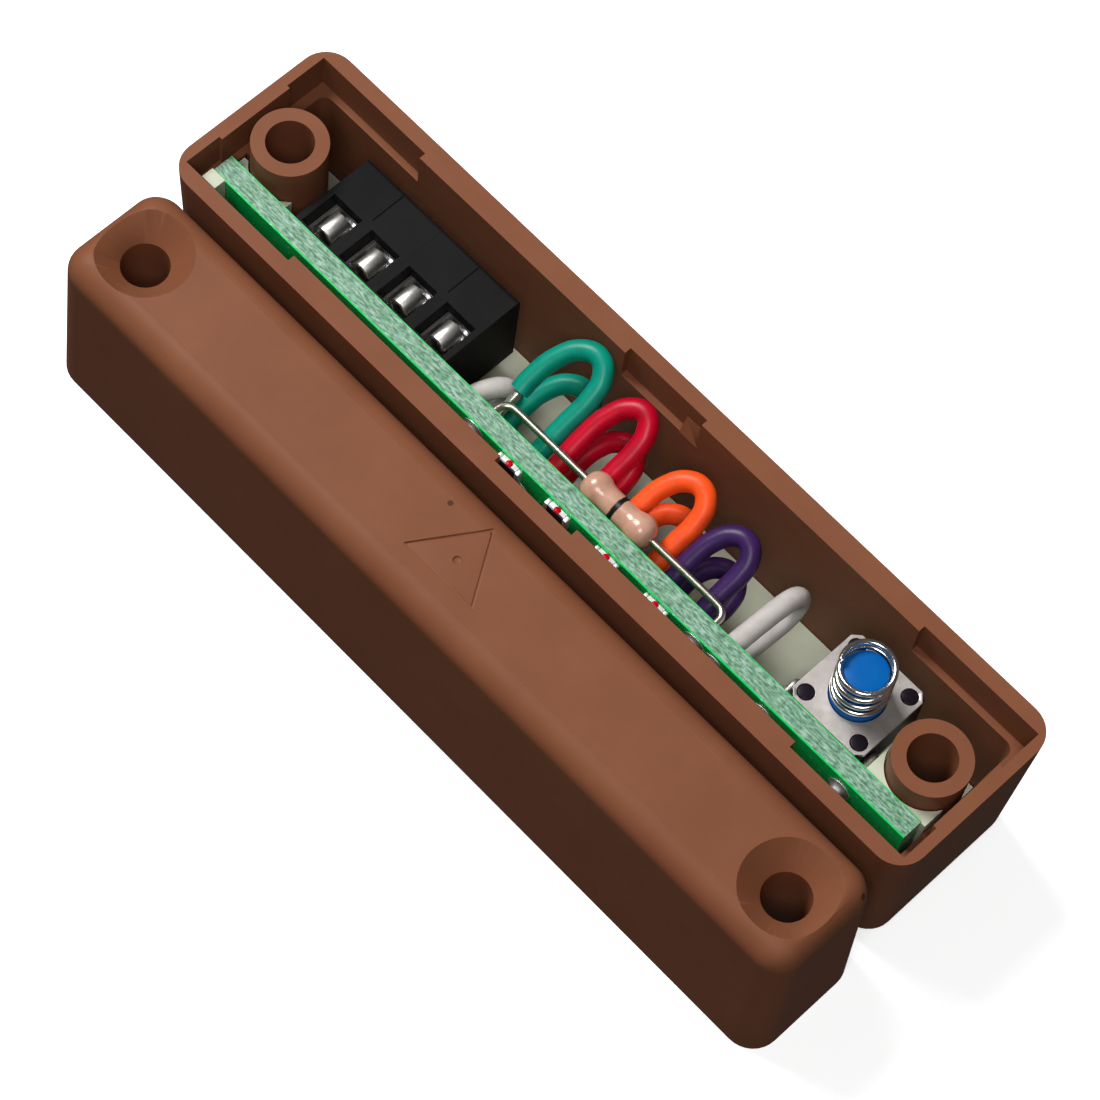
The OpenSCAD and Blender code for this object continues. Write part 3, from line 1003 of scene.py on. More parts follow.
@dataclass
class Case:
    """What the two halves' cases share: a rounded block, bores and countersinks."""

    corner_radius: float = 2.0
    edge_radius: float = 1.6
    lean: float = 0.45
    hole_spacing: float = 57.0
    hole_radius: float = 1.6
    countersink_radius: float = 3.2
    rim_softness: float = 0.16

    def rounded_block(self, name: str, low: Vector, high: Vector, face_up: bool) -> Piece:
        """Makes a block whose walls lean in towards a rounded face.

        Args:
            name: The piece's name.
            low: The block's lowest corner.
            high: The block's highest corner.
            face_up: True if the face is at the top, False if it is at the bottom.

        Returns:
            The block.
        """
        piece = Bench.block(name, low, high)
        Bench.round_edges(piece, stands, self.corner_radius, steps=8)
        level = high.z if face_up else low.z
        size, middle = high - low, (low + high) / 2
        ratio = (1 - 2 * self.lean / size.x, 1 - 2 * self.lean / size.y, 1.0)
        Bench.scale_end(piece, level, ratio, (middle.x, middle.y, level))
        Bench.round_edges(
            piece,
            lies_at(level),
            self.edge_radius,
            steps=8,
        )
        return piece

    def bore_tools(self, low: Vector, high: Vector, sink_at_top: bool) -> list[Piece]:
        """Makes the tools that bore and countersink the two screw holes.

        Args:
            low: The case's lowest corner.
            high: The case's highest corner.
            sink_at_top: True if the countersinks are in the top face.

        Returns:
            One closed tool for each hole.
        """
        sunk, bored = self.countersink_radius, self.hole_radius
        depth = sunk - bored
        past = 1.0
        height = high.z - low.z
        bottom = [(-past, sunk), (0.0, sunk), (depth, bored), (height + past, bored)]
        top = [(-past, bored), (height - depth, bored), (height, sunk), (height + past, sunk)]
        middle_y = (low.y + high.y) / 2
        return [
            Bench.turned(
                "bore_tool",
                (side * self.hole_spacing / 2, middle_y, low.z),
                Axis.Z,
                top if sink_at_top else bottom,
                sides=64,
            )
            for side in (-1, 1)
        ]


@dataclass
class SensorCase(Case):
    """The open tray of the sensor half, face down."""

    side_wall: float = 1.6
    end_wall: float = 1.5
    floor: float = 1.6
    boss_radius: float = 2.55
    recess_depth: float = 2.9
    thin_side: float = 1.1
    thin_end: float = 0.75
    end_pad: float = 1.0
    end_pad_span: tuple[float, float] = (3.9, 9.7)
    pad_inner: float = 3.4
    pad_outer: float = 22.2
    web: tuple[float, float] = (5.6, 8.2)
    wedge: Point = (1.5, 0.55, 1.3)
    inner_corner: float = 0.7

    def build(self) -> None:
        """Makes the tray with its recess, bosses, web, snap wedge and bores."""
        low, high = box_mm("sensor_housing")
        front, top = low.y, high.z + 1.0
        half = high.x
        width = high.y - low.y
        ledge = high.z - self.recess_depth
        tray = self.rounded_block("sensor_case", low, high, face_up=False)
        hollow = Bench.block(
            "hollow_tool",
            (-half + self.end_wall, front + self.side_wall, low.z + self.floor),
            (half - self.end_wall, front + width - self.side_wall, top),
        )
        Bench.round_edges(hollow, stands, self.inner_corner)
        Bench.shape(tray, [hollow], Joining.CUTS)
        Bench.shape(tray, self._recess_tools(front, half, width, ledge, top), Joining.CUTS)
        Bench.shape(tray, self._bosses(front, half, width, low.z, high.z, ledge), Joining.ADDS)
        Bench.shape(tray, self.bore_tools(low, high, sink_at_top=False), Joining.CUTS)
        Bench.merge_flats(tray)
        Bench.soften(tray, self.rim_softness)
        settle(tray, Finishes.case, Body.SENSOR.value, ["sensor_housing"])

    def _recess_tools(
        self, front: float, half: float, width: float, ledge: float, top: float
    ) -> list[Piece]:
        """Makes the tools for the stepped recess below the rim.

        Args:
            front: The outside of the front wall.
            half: Half the case's length.
            width: The case's width.
            ledge: The height of the step.
            top: A height above the rim.

        Returns:
            The tools.
        """
        near, far = front + self.thin_side, front + width - self.thin_side
        pad_low, pad_high = (front + place for place in self.end_pad_span)
        spans = [((-self.pad_inner, near), (self.pad_inner, far))]
        for side in (-1, 1):
            for (x0, y0), (x1, y1) in (
                ((self.pad_outer, near), (half - self.end_pad, far)),
                ((half - self.end_pad - 0.5, near), (half - self.thin_end, pad_low)),
                ((half - self.end_pad - 0.5, pad_high), (half - self.thin_end, far)),
            ):
                edges = sorted((side * x0, side * x1))
                spans.append(((edges[0], y0), (edges[1], y1)))
        return [
            Bench.block("recess_tool", (x0, y0, ledge), (x1, y1, top))
            for (x0, y0), (x1, y1) in spans
        ]

    def _bosses(
        self, front: float, half: float, width: float, bottom: float, rim: float, ledge: float
    ) -> list[Piece]:
        """Makes the two screw bosses, the far boss's web and the snap wedge.

        Args:
            front: The outside of the front wall.
            half: Half the case's length.
            width: The case's width.
            bottom: The height of the case's face.
            rim: The height of the rim.
            ledge: The height of the recess's step.

        Returns:
            The pieces to add to the tray.
        """
        foot = bottom + self.floor - 0.4
        bosses = [
            Bench.rod(
                "boss",
                (side * self.hole_spacing / 2, front + width / 2, foot),
                Axis.Z,
                rim - foot,
                self.boss_radius,
                sides=64,
            )
            for side in (-1, 1)
        ]
        web = Bench.block(
            "web",
            (-half + self.thin_end - 0.2, front + self.web[0], foot),
            (-self.hole_spacing / 2 - 1.9, front + self.web[1], ledge),
        )
        across, out, tall = self.wedge
        wall = front + width - self.thin_side
        wedge = Bench.block(
            "wedge",
            (self.pad_inner - across, wall - out, ledge - 0.1),
            (self.pad_inner + 0.1, wall + 0.1, ledge + tall),
        )
        Bench.pick_edges(wedge, lambda a, b: min(a.z, b.z) > ledge and max(a.y, b.y) < wall)
        bpy.ops.transform.translate(value=(0, (out - 0.02) * MM, 0))
        bpy.ops.object.mode_set(mode="OBJECT")
        return [*bosses, web, wedge]


@dataclass
class MagnetCase(Case):
    """The case of the magnet half, face up, with its base plate."""

    wall: float = 1.6
    pocket_half: float = 22.0
    pocket_depth: float = 12.0
    dish_softness: float = 0.45
    arris: float = 0.08
    mark_base: float = 5.8
    mark_height: float = 4.6
    mark_line: float = 0.22
    mark_depth: float = 0.12

    def build(self) -> None:
        """Makes the case with its pocket, countersunk bores and direction mark, and the plate."""
        low, high = box_mm("magnet_housing")
        case = self.rounded_block("magnet_case", low, high, face_up=True)
        pocket = Bench.block(
            "pocket_tool",
            (-self.pocket_half, low.y + self.wall, low.z - 1.0),
            (self.pocket_half, high.y - self.wall, low.z + self.pocket_depth),
        )
        Bench.shape(case, [pocket], Joining.CUTS)
        Bench.shape(case, self.bore_tools(low, high, sink_at_top=True), Joining.CUTS)
        middle_y = (low.y + high.y) / 2
        holes = [Vector((side * self.hole_spacing / 2, middle_y, high.z)) for side in (-1, 1)]

        def on_dish_rim(first: Vector, second: Vector) -> bool:
            """Tells whether an edge lies on the outer rim of a countersink."""
            return all(
                any(
                    abs(end.z - hole.z) < 0.02
                    and abs((end - hole).length - self.countersink_radius) < 0.03
                    for hole in holes
                )
                for end in (first, second)
            )

        Bench.round_edges(case, on_dish_rim, self.dish_softness, steps=5)
        Bench.soften(case, self.arris, steps=2)
        Bench.shape(case, [self._mark_tool(middle_y, high.z)], Joining.CUTS)
        Bench.soften(case, 0.0)
        settle(case, Finishes.case, Body.MAGNET.value, ["magnet_housing"])
        self._base_plate()

    def _mark_tool(self, middle_y: float, face: float) -> Piece:
        """Makes the tool that engraves the outlined triangle and its dot.

        Args:
            middle_y: The middle of the case.
            face: The height of the face.

        Returns:
            The tool.
        """
        floor = face - self.mark_depth
        foot = middle_y - self.mark_height / 3
        corners = [
            (-self.mark_base / 2, foot, floor),
            (self.mark_base / 2, foot, floor),
            (0.0, foot + self.mark_height, floor),
        ]
        lines = []
        for first, second in zip(corners, corners[1:] + corners[:1]):
            start, end = Vector(first), Vector(second)
            run = end - start
            line = Bench.block(
                "mark_line",
                (0.0, -self.mark_line / 2, 0.0),
                (run.length + self.mark_line / 2, self.mark_line / 2, 1.0),
            )
            line.rotation_euler = (0, 0, math.atan2(run.y, run.x))
            line.location = start * MM
            Bench.take(line)
            bpy.ops.object.transform_apply(location=True, rotation=True, scale=True)
            lines.append(line)
        dot = Bench.turned(
            "mark_dot",
            (0.0, middle_y, floor),
            Axis.Z,
            [(0.0, 0.22), (0.05, 0.3), (1.0, 0.3)],
            sides=24,
        )
        Bench.shape(lines[0], [*lines[1:], dot], Joining.ADDS)
        return lines[0]

    def _base_plate(self) -> None:
        """Makes the plate that closes the pocket underneath."""
        low, high = box_mm("magnet_base_plate")
        plate = Bench.block("magnet_base", low, high)
        Bench.round_edges(plate, stands, 0.4, steps=4)
        groove = Bench.block(
            "groove_tool",
            (low.x + 3.0, low.y + 1.6, low.z - 0.5),
            (high.x - 3.0, high.y - 1.6, low.z + 0.3),
        )
        Bench.shape(plate, [groove], Joining.CUTS)
        Bench.soften(plate, 0.1)
        settle(plate, Finishes.case, Body.MAGNET.value, ["magnet_base_plate"])


@dataclass
class Carrier:
    """The off-white floor and posts that hold the board inside the tray."""

    floor_depth: float = 0.8
    left_wall_end: float = -29.7
    rear_post_end: float = -26.4
    near_post_start: float = 25.9
    boss_radius: float = 2.65
    boss_spacing: float = 57.0
    boss_y: float = 5.35
    board_gap: float = 0.05
    softness: float = 0.14

    def build(self) -> None:
        """Makes the carrier as one moulding, hollowed round the two screw bosses."""
        low, high = box_mm("inner_carrier")
        board_low, board_high = box_mm("circuit_board")
        middle_y = low.y + self.boss_y
        floor_top = low.z + self.floor_depth
        post_top = board_high.z - 0.4
        front, rear = board_low.y - self.board_gap, board_high.y + self.board_gap
        carrier = Bench.block("carrier", low, (high.x, high.y, floor_top))
        corners = (
            ("end_post", (low.x, low.y), (self.left_wall_end, front, high.z)),
            ("far_post", (low.x, rear), (self.rear_post_end, middle_y - 1.7, post_top - 1)),
            ("near_post", (self.near_post_start, rear), (high.x, middle_y + 0.1, post_top)),
        )
        posts = [Bench.block(name, (*start, low.z), end) for name, start, end in corners]
        Bench.shape(carrier, posts, Joining.ADDS)
        rings = [
            Bench.rod(
                "boss_tool",
                (side * self.boss_spacing / 2, middle_y, low.z - 0.5),
                Axis.Z,
                14.0,
                self.boss_radius,
                sides=64,
            )
            for side in (-1, 1)
        ]
        web = Bench.block(
            "web_tool",
            (low.x - 1.0, middle_y - 1.6, low.z - 1.0),
            (-self.boss_spacing / 2, middle_y + 1.4, high.z + 1.0),
        )
        Bench.shape(carrier, [*rings, web], Joining.CUTS)
        Bench.soften(carrier, self.softness)
        settle(carrier, Finishes.carrier, Body.SENSOR.value, ["inner_carrier"])


@dataclass
class Board:
    """The circuit board with a soldered joint round every lead."""

    pad_thickness: float = 0.04
    flare: tuple[tuple[float, float], ...] = (
        (0.04, 0.76), (0.12, 0.64), (0.22, 0.54), (0.34, 0.48), (0.44, 0.42), (0.50, 0.30),
    )

    def build(self) -> None:
        """Dresses the board and makes its solder."""
        low, high = box_mm("circuit_board")
        mask = SolderMask(
            "board_look", low.y, high.y,
            (0.0, 0.56, 0.11, 1), (0.24, 0.72, 0.36, 1),
            (0.165, 0.33, 0.22, 1), (0.06, 0.17, 0.105, 1),
        )
        dress_node("circuit_board", mask)
        joints = []
        for number, (corner, far) in enumerate(solid_boxes("solder_joints")):
            middle = (corner + far) / 2
            wide = (far.x - corner.x) / 1.5
            profile = [(0.0, 0.86 * wide), (self.pad_thickness, 0.86 * wide)]
            profile += [(along, radius * wide) for along, radius in self.flare]
            profile = [(0.5 - along, radius) for along, radius in reversed(profile)]
            joints.append(Bench.turned(
                f"joint_{number}", (middle.x, corner.y, middle.z), Axis.Y, profile, sides=20
            ))
        solder = Bench.join("solder_fillets", joints)
        Bench.soften(solder, 0.0, angle=45)
        settle(solder, Finishes.solder, Body.SENSOR.value, ["solder_joints"])


@dataclass
class TerminalStrip:
    """Two two-way terminal blocks with their bars, clamp rings and screws."""

    ways: int = 4
    pitch: float = 3.5
    entry_half: float = 1.3
    entry: tuple[float, float] = (0.3, 3.2)
    chamber_floor: float = 0.7
    chamber_top: float = 1.0
    web_front: float = 5.2
    shaft_radius: float = 1.05
    head_bore: float = 1.4
    softness: float = 0.09
    arch_length: float = 1.65
    sheet: float = 0.3

    def build(self) -> None:
        """Makes every piece of the terminals."""
        for side in ("left", "right"):
            self._block(f"terminal_block_{side}")
        self._bars()
        for way in range(1, self.ways + 1):
            self._clamp(way)
            self._screw(way)

    def _block(self, node: str) -> None:
        """Makes one two-way block.

        Args:
            node: The CAD node that it stands for.
        """
        low, high = box_mm(node)
        block = Bench.block(f"{node}_body", low, high)
        Bench.round_edges(
            block,
            lambda a, b: min(a.y, b.y) > high.y - 0.01 and min(a.z, b.z) > high.z - 0.01,
            0.35,
            steps=3,
        )
        tools = []
        for way in (0.5, 1.5):
            x = low.x + way * self.pitch
            tools.append(Bench.block(
                "entry_tool",
                (x - self.entry_half, low.y + self.entry[0], low.z + self.chamber_floor),
                (x + self.entry_half, low.y + self.entry[1], high.z + 1.0),
            ))
            tools.append(Bench.block(
                "chamber_tool",
                (x - self.entry_half, low.y + self.entry[0], low.z + self.chamber_floor),
                (x + self.entry_half, low.y + self.web_front, high.z - self.chamber_top),
            ))
            screw_low, screw_high = self._screw_box(x)
            middle_z = (screw_low.z + screw_high.z) / 2
            tools.append(Bench.turned(
                "screw_tool",
                (x, low.y + self.web_front - 0.2, middle_z),
                Axis.Y,
                [(0.0, self.shaft_radius), (0.55, self.shaft_radius), (0.55, self.head_bore),
                 (3.0, self.head_bore)],
            ))
        Bench.shape(block, tools, Joining.CUTS)
        groove = Bench.block(
            "groove_tool",
            (low.x + self.pitch - 0.06, low.y + self.entry[1] + 0.5, high.z - 0.07),
            (low.x + self.pitch + 0.06, high.y + 0.5, high.z + 0.5),
        )
        Bench.shape(block, [groove], Joining.CUTS)
        Bench.soften(block, self.softness, steps=2)
        settle(block, Finishes.terminal, Body.SENSOR.value, [node])

    @staticmethod
    def _screw_box(x: float) -> Box:
        """Finds the CAD screw of one way.

        Args:
            x: The way's place along the board.

        Returns:
            The screw's box.
        """
        boxes = [box_mm(f"terminal_screw_{way}") for way in range(1, 5)]
        return min(boxes, key=lambda found: abs((found[0].x + found[1].x) / 2 - x))

    def _bars(self) -> None:
        """Makes the four contact bars, each with an arched top plate and a pin."""
        bars = []
        for number, (low, high) in enumerate(solid_boxes("contact_bars")):
            middle, half = (low.x + high.x) / 2, (high.x - low.x) / 2
            rear = high.y
            spring_line = high.z - half
            arch = Bench.rod(
                f"bar_{number}",
                (middle, rear - self.arch_length, spring_line),
                Axis.Y,
                self.arch_length,
                half,
            )
            hollow = Bench.rod(
                "arch_tool",
                (middle, rear - self.arch_length - 1, spring_line),
                Axis.Y,
                self.arch_length + 2,
                half - self.sheet,
            )
            below = Bench.block(
                "below_tool",
                (middle - 2, rear - self.arch_length - 1, spring_line - 2),
                (middle + 2, rear + 1, spring_line - 0.05),
            )
            Bench.shape(arch, [hollow, below], Joining.CUTS)
            bar = Bench.block(
                "bar",
                (middle - half, rear - 0.75, low.z),
                (middle + half, rear - 0.2, spring_line + 0.1),
            )
            pin = Bench.block(
                "pin", (middle - 0.4, low.y, low.z + 0.2), (middle + 0.4, rear - 0.5, low.z + 1.0)
            )
            Bench.shape(arch, [bar, pin], Joining.ADDS)
            Bench.soften(arch, 0.05, steps=2)
            bars.append(arch)
        joined = Bench.join("terminal_contact_strips", bars)
        settle(joined, Finishes.plated, Body.SENSOR.value, ["contact_bars"])

    def _clamp(self, way: int) -> None:
        """Makes one clamp ring.

        Args:
            way: The terminal's number.
        """
        node = f"terminal_clamp_{way}"
        low, high = box_mm(node)
        ring = Bench.block(f"clamp_ring_plate_{way}", low, high)
        Bench.round_edges(ring, stands, 0.2, steps=3)
        inside = Bench.block(
            "ring_tool",
            (low.x + 0.21, low.y + 0.4, low.z - 1),
            (high.x - 0.21, high.y - 0.6, high.z + 1),
        )
        middle = (low + high) / 2
        bore = Bench.rod(
            "ring_bore", (middle.x, high.y - 1.0, middle.z), Axis.Y, 2.0, self.shaft_radius
        )
        Bench.shape(ring, [inside, bore], Joining.CUTS)
        Bench.soften(ring, 0.04, steps=2)
        settle(ring, Finishes.plated, f"clamp_ring_{way}", [node])

    def _screw(self, way: int) -> None:
        """Makes one clamp screw with its threads and slotted head.

        Args:
            way: The terminal's number.
        """
        node = f"terminal_screw_{way}"
        low, high = box_mm(node)
        middle = (low + high) / 2
        head = 0.9
        neck = high.y - head - low.y
        thread, pitch = 0.09, 0.4
        profile = [(0.0, 0.7), (0.15, 0.9)]
        for turn in range(int((neck - 0.4) / pitch)):
            start = 0.2 + turn * pitch
            profile += [(start, 0.99 - thread), (start + pitch / 2, 0.99)]
        profile += [(neck - 0.1, 0.9), (neck, 0.9), (neck, 1.18), (neck + 0.12, 1.3),
                    (neck + head - 0.2, 1.3), (neck + head - 0.06, 1.22), (neck + head, 1.05)]
        screw = Bench.turned(
            f"clamp_screw_turned_{way}", (middle.x, low.y, middle.z), Axis.Y, profile, sides=40
        )
        slot = Bench.block(
            "slot_tool",
            (middle.x - 2, high.y - 0.45, middle.z - 0.2),
            (middle.x + 2, high.y + 1, middle.z + 0.2),
        )
        Bench.shape(screw, [slot], Joining.CUTS)
        Bench.soften(screw, 0.0, angle=24)
        settle(screw, Finishes.screw, f"clamp_screw_{way}", [node])


@dataclass
class BentLoop:
    """One insulated wire loop: a hairpin that leaves the board and comes back to it."""

    node: str
    finish: Finish
    slot: str
    feet: tuple[float, float]
    height: float
    reach: float
    tilt: float = 30.0
    starts: tuple[float, float] = (0.0, 0.0)
    foot_y: float = 2.65
    radius: float = 0.7
    outline: tuple[tuple[float, float], ...] = (
        (-0.50, 0.0), (-0.51, 0.25), (-0.50, 0.50), (-0.40, 0.76), (-0.14, 0.95),
        (0.20, 1.0), (0.46, 0.90), (0.55, 0.70), (0.52, 0.45), (0.50, 0.20), (0.50, 0.0),
    )

    def path(self) -> list[Point]:
        """Lays out the middle of the wire from one foot to the other.

        Returns:
            The points of the path.
        """
        gap = self.feet[1] - self.feet[0]
        middle = sum(self.feet) / 2
        slope = math.radians(self.tilt)
        length = (self.reach - self.foot_y) / math.cos(slope)
        flat = [(across * gap, along * length) for across, along in self.outline]
        top = max(range(len(flat)), key=lambda index: flat[index][1])
        first, last = self.starts
        leaving = [point for point in flat[:top] if point[1] > first + self.radius / 2]
        coming = [point for point in flat[top:] if point[1] > last + self.radius / 2]
        flat = [(flat[0][0], first), *leaving, *coming, (flat[-1][0], last)]
        points = []
        for across, along in flat:
            points.append((
                middle + across,
                self.foot_y + along * math.cos(slope),
                self.height + along * math.sin(slope),
            ))
        return points

    def build(self) -> None:
        """Draws the wire."""
        wire = Bench.wire(f"{self.node}_wire", self.path(), self.radius, roundness=6)
        Bench.soften(wire, 0.0, angle=45)
        settle(wire, self.finish, Body.SENSOR.value, [self.node])


@dataclass
class UprightLoop(BentLoop):
    """A loop that stands upright, with one leg above the other."""

    x: float = 0.0
    shift: float = 0.0

    def path(self) -> list[Point]:
        """Lays out the middle of the wire from the lower foot to the upper one.

        Returns:
            The points of the path.
        """
        low, high = self.feet
        gap = high - low
        straight = self.reach - self.foot_y - gap / 2
        flat = [(low, straight * share) for share in (0.0, 0.5, 1.0)]
        for turn in (30, 60, 90, 120, 150):
            angle = math.radians(turn - 90)
            flat.append(((low + high) / 2 + gap / 2 * math.sin(angle),
                         straight + gap / 2 * math.cos(angle)))
        flat += [(high, straight * share) for share in (1.0, 0.5, 0.0)]
        length = straight + gap / 2
        return [
            (self.x + self.shift * (along / length) ** 1.6, self.foot_y + along, height)
            for height, along in flat
        ]


@dataclass
class SelectorLoops:
    """The ten loops behind the board, and their bare ends."""

    upper: float = 8.8
    lower: float = 5.4
    lower_reach: float = 0.7
    bare_radius: float = 0.3
    cut_end_x: float = -7.1
    cut_end_reach: float = 2.7

    def build(self) -> None:
        """Makes every loop, and the bare ends that go through the board."""
        pairs = (
            ("green", Finishes.green, (self.cut_end_x, -3.45), 9.5, (2.9, 0.0)),
            ("red", Finishes.red, (-1.95, 1.0), 9.0, (0.0, 0.0)),
            ("orange", Finishes.orange, (3.8, 7.0), 8.2, (0.0, 0.0)),
            ("purple", Finishes.purple, (8.5, 11.3), 7.8, (0.0, 0.0)),
        )
        for colour, finish, feet, reach, starts in pairs:
            slot = f"wire_{colour}"
            BentLoop(f"{colour}_loop_upper", finish, slot, feet, self.upper, reach,
                     starts=starts).build()
            BentLoop(f"{colour}_loop_lower", finish, slot, feet, self.lower,
                     reach - self.lower_reach).build()
        whites = (
            ("left", -9.3, (6.6, 9.2), 5.6, 1.2),
            ("right", 14.6, (7.8, 11.2), 8.3, 0.3),
        )
        for side, x, feet, reach, shift in whites:
            UprightLoop(f"white_loop_{side}", Finishes.white, "wire_white", feet, 0.0, reach,
                        shift=shift, foot_y=2.35, x=x).build()
        ends = []
        for number, (low, high) in enumerate(solid_boxes("loop_conductors")):
            middle = (low + high) / 2
            cut = abs(middle.x - self.cut_end_x) < 0.1 and middle.z > 8
            points = [(middle.x, low.y, middle.z), (middle.x, middle.y, middle.z),
                      (middle.x, high.y, middle.z)]
            if cut:
                reach = self.cut_end_reach
                points.append((middle.x, high.y + reach, middle.z + reach * 0.5))
            ends.append(Bench.wire(f"end_{number}", points, self.bare_radius, roundness=3))
        bare = Bench.join("loop_bare_ends", ends)
        Bench.soften(bare, 0.0, angle=45)
        settle(bare, Finishes.tinned, Body.SENSOR.value, ["loop_conductors"])


@dataclass
class LinkResistor:
    """The zero-ohm link behind the board's top edge, with its two leads."""

    lead_radius: float = 0.25
    bend: float = 0.75

    def build(self) -> None:
        """Makes the body and the leads."""
        low, high = box_mm("link_resistor")
        middle = (low + high) / 2
        length = high.x - low.x
        bulb = (high.z - low.z) / 2
        outline = (
            (0.0, 0.32), (0.06, 0.55), (0.2, 0.82), (0.42, 1.0), (0.7, 1.11), (0.95, 1.15),
            (1.25, 1.11), (1.55, 1.0), (1.8, 0.925), (2.1, 0.91),
        )
        scale = bulb / 1.15
        profile = [(along, radius * scale) for along, radius in outline]
        profile += [(length - along, radius) for along, radius in reversed(profile)]
        body = Bench.turned("link_body", (low.x, middle.y, middle.z), Axis.X, profile, sides=48)
        Bench.soften(body, 0.0, angle=60)
        lacquer = BandedLacquer(
            "link_look", (0.60, 0.335, 0.235, 1), (0.50, 0.26, 0.175, 1), middle.x
        )
        settle(body, lacquer, Body.SENSOR.value, ["link_resistor"])
        leads = []
        for number, (corner, far) in enumerate(solid_boxes("link_leads")):
            side = -1 if (corner.x + far.x) / 2 < middle.x else 1
            hole_x = corner.x + self.lead_radius if side < 0 else far.x - self.lead_radius
            turn = self.bend
            arc = [
                (hole_x - side * turn * (1 - math.sin(angle)),
                 middle.y - turn * (1 - math.cos(angle)), middle.z)
                for angle in (math.radians(step) for step in (0, 22.5, 45, 67.5, 90))
            ]
            path = [(middle.x + side * 2.0, middle.y, middle.z), *arc,
                    (hole_x, corner.y, middle.z)]
            leads.append(Bench.wire(f"lead_{number}", path, self.lead_radius, roundness=4))
        wires = Bench.join("link_wires", leads)
        Bench.soften(wires, 0.0, angle=45)
        settle(wires, Finishes.tinned, Body.SENSOR.value, ["link_leads"])


@dataclass
class ChipRow:
    """Four chip resistors on the board's front face, with their caps and adhesive dots."""

    softness: float = 0.05

    def build(self) -> None:
        """Makes the chips, the caps and the dots."""
        chips = []
        front = 0.0
        for number, (low, high) in enumerate(solid_boxes("chip_resistors")):
            front = low.y
            chip = Bench.block(f"chip_{number}", low, high)
            Bench.round_edges(chip, lambda a, b: abs(a.x - b.x) > 0.3, self.softness, steps=2)
            Bench.soften(chip, 0.02, steps=2)
            chips.append(chip)
        body = Bench.join("chip_bodies", chips)
        ceramic = ChipCeramic("chip_look", front + 0.14)
        settle(body, ceramic, Body.SENSOR.value, ["chip_resistors"])
        caps = []
        for number, (low, high) in enumerate(solid_boxes("chip_caps")):
            cap = Bench.block(f"cap_{number}", low, high)
            Bench.round_edges(cap, lambda a, b: True, 0.09, steps=3)
            Bench.soften(cap, 0.0)
            caps.append(cap)
        settle(Bench.join("chip_end_caps", caps), Finishes.solder,
               Body.SENSOR.value, ["chip_caps"])
        dots = []
        for number, (low, high) in enumerate(solid_boxes("adhesive_dots")):
            middle = (low + high) / 2
            radius, tall = (high.x - low.x) / 2, high.z - low.z
            profile = [(0.0, radius), (tall * 0.35, radius * 0.97), (tall * 0.65, radius * 0.85),
                       (tall * 0.88, radius * 0.6), (tall, radius * 0.22)]
            dots.append(Bench.turned(f"dot_{number}", (middle.x, middle.y, low.z), Axis.Z,
                                     profile, sides=24))
        drops = Bench.join("adhesive_drops", dots)
        Bench.soften(drops, 0.0, angle=50)
        settle(drops, Finishes.adhesive, Body.SENSOR.value, ["adhesive_dots"])


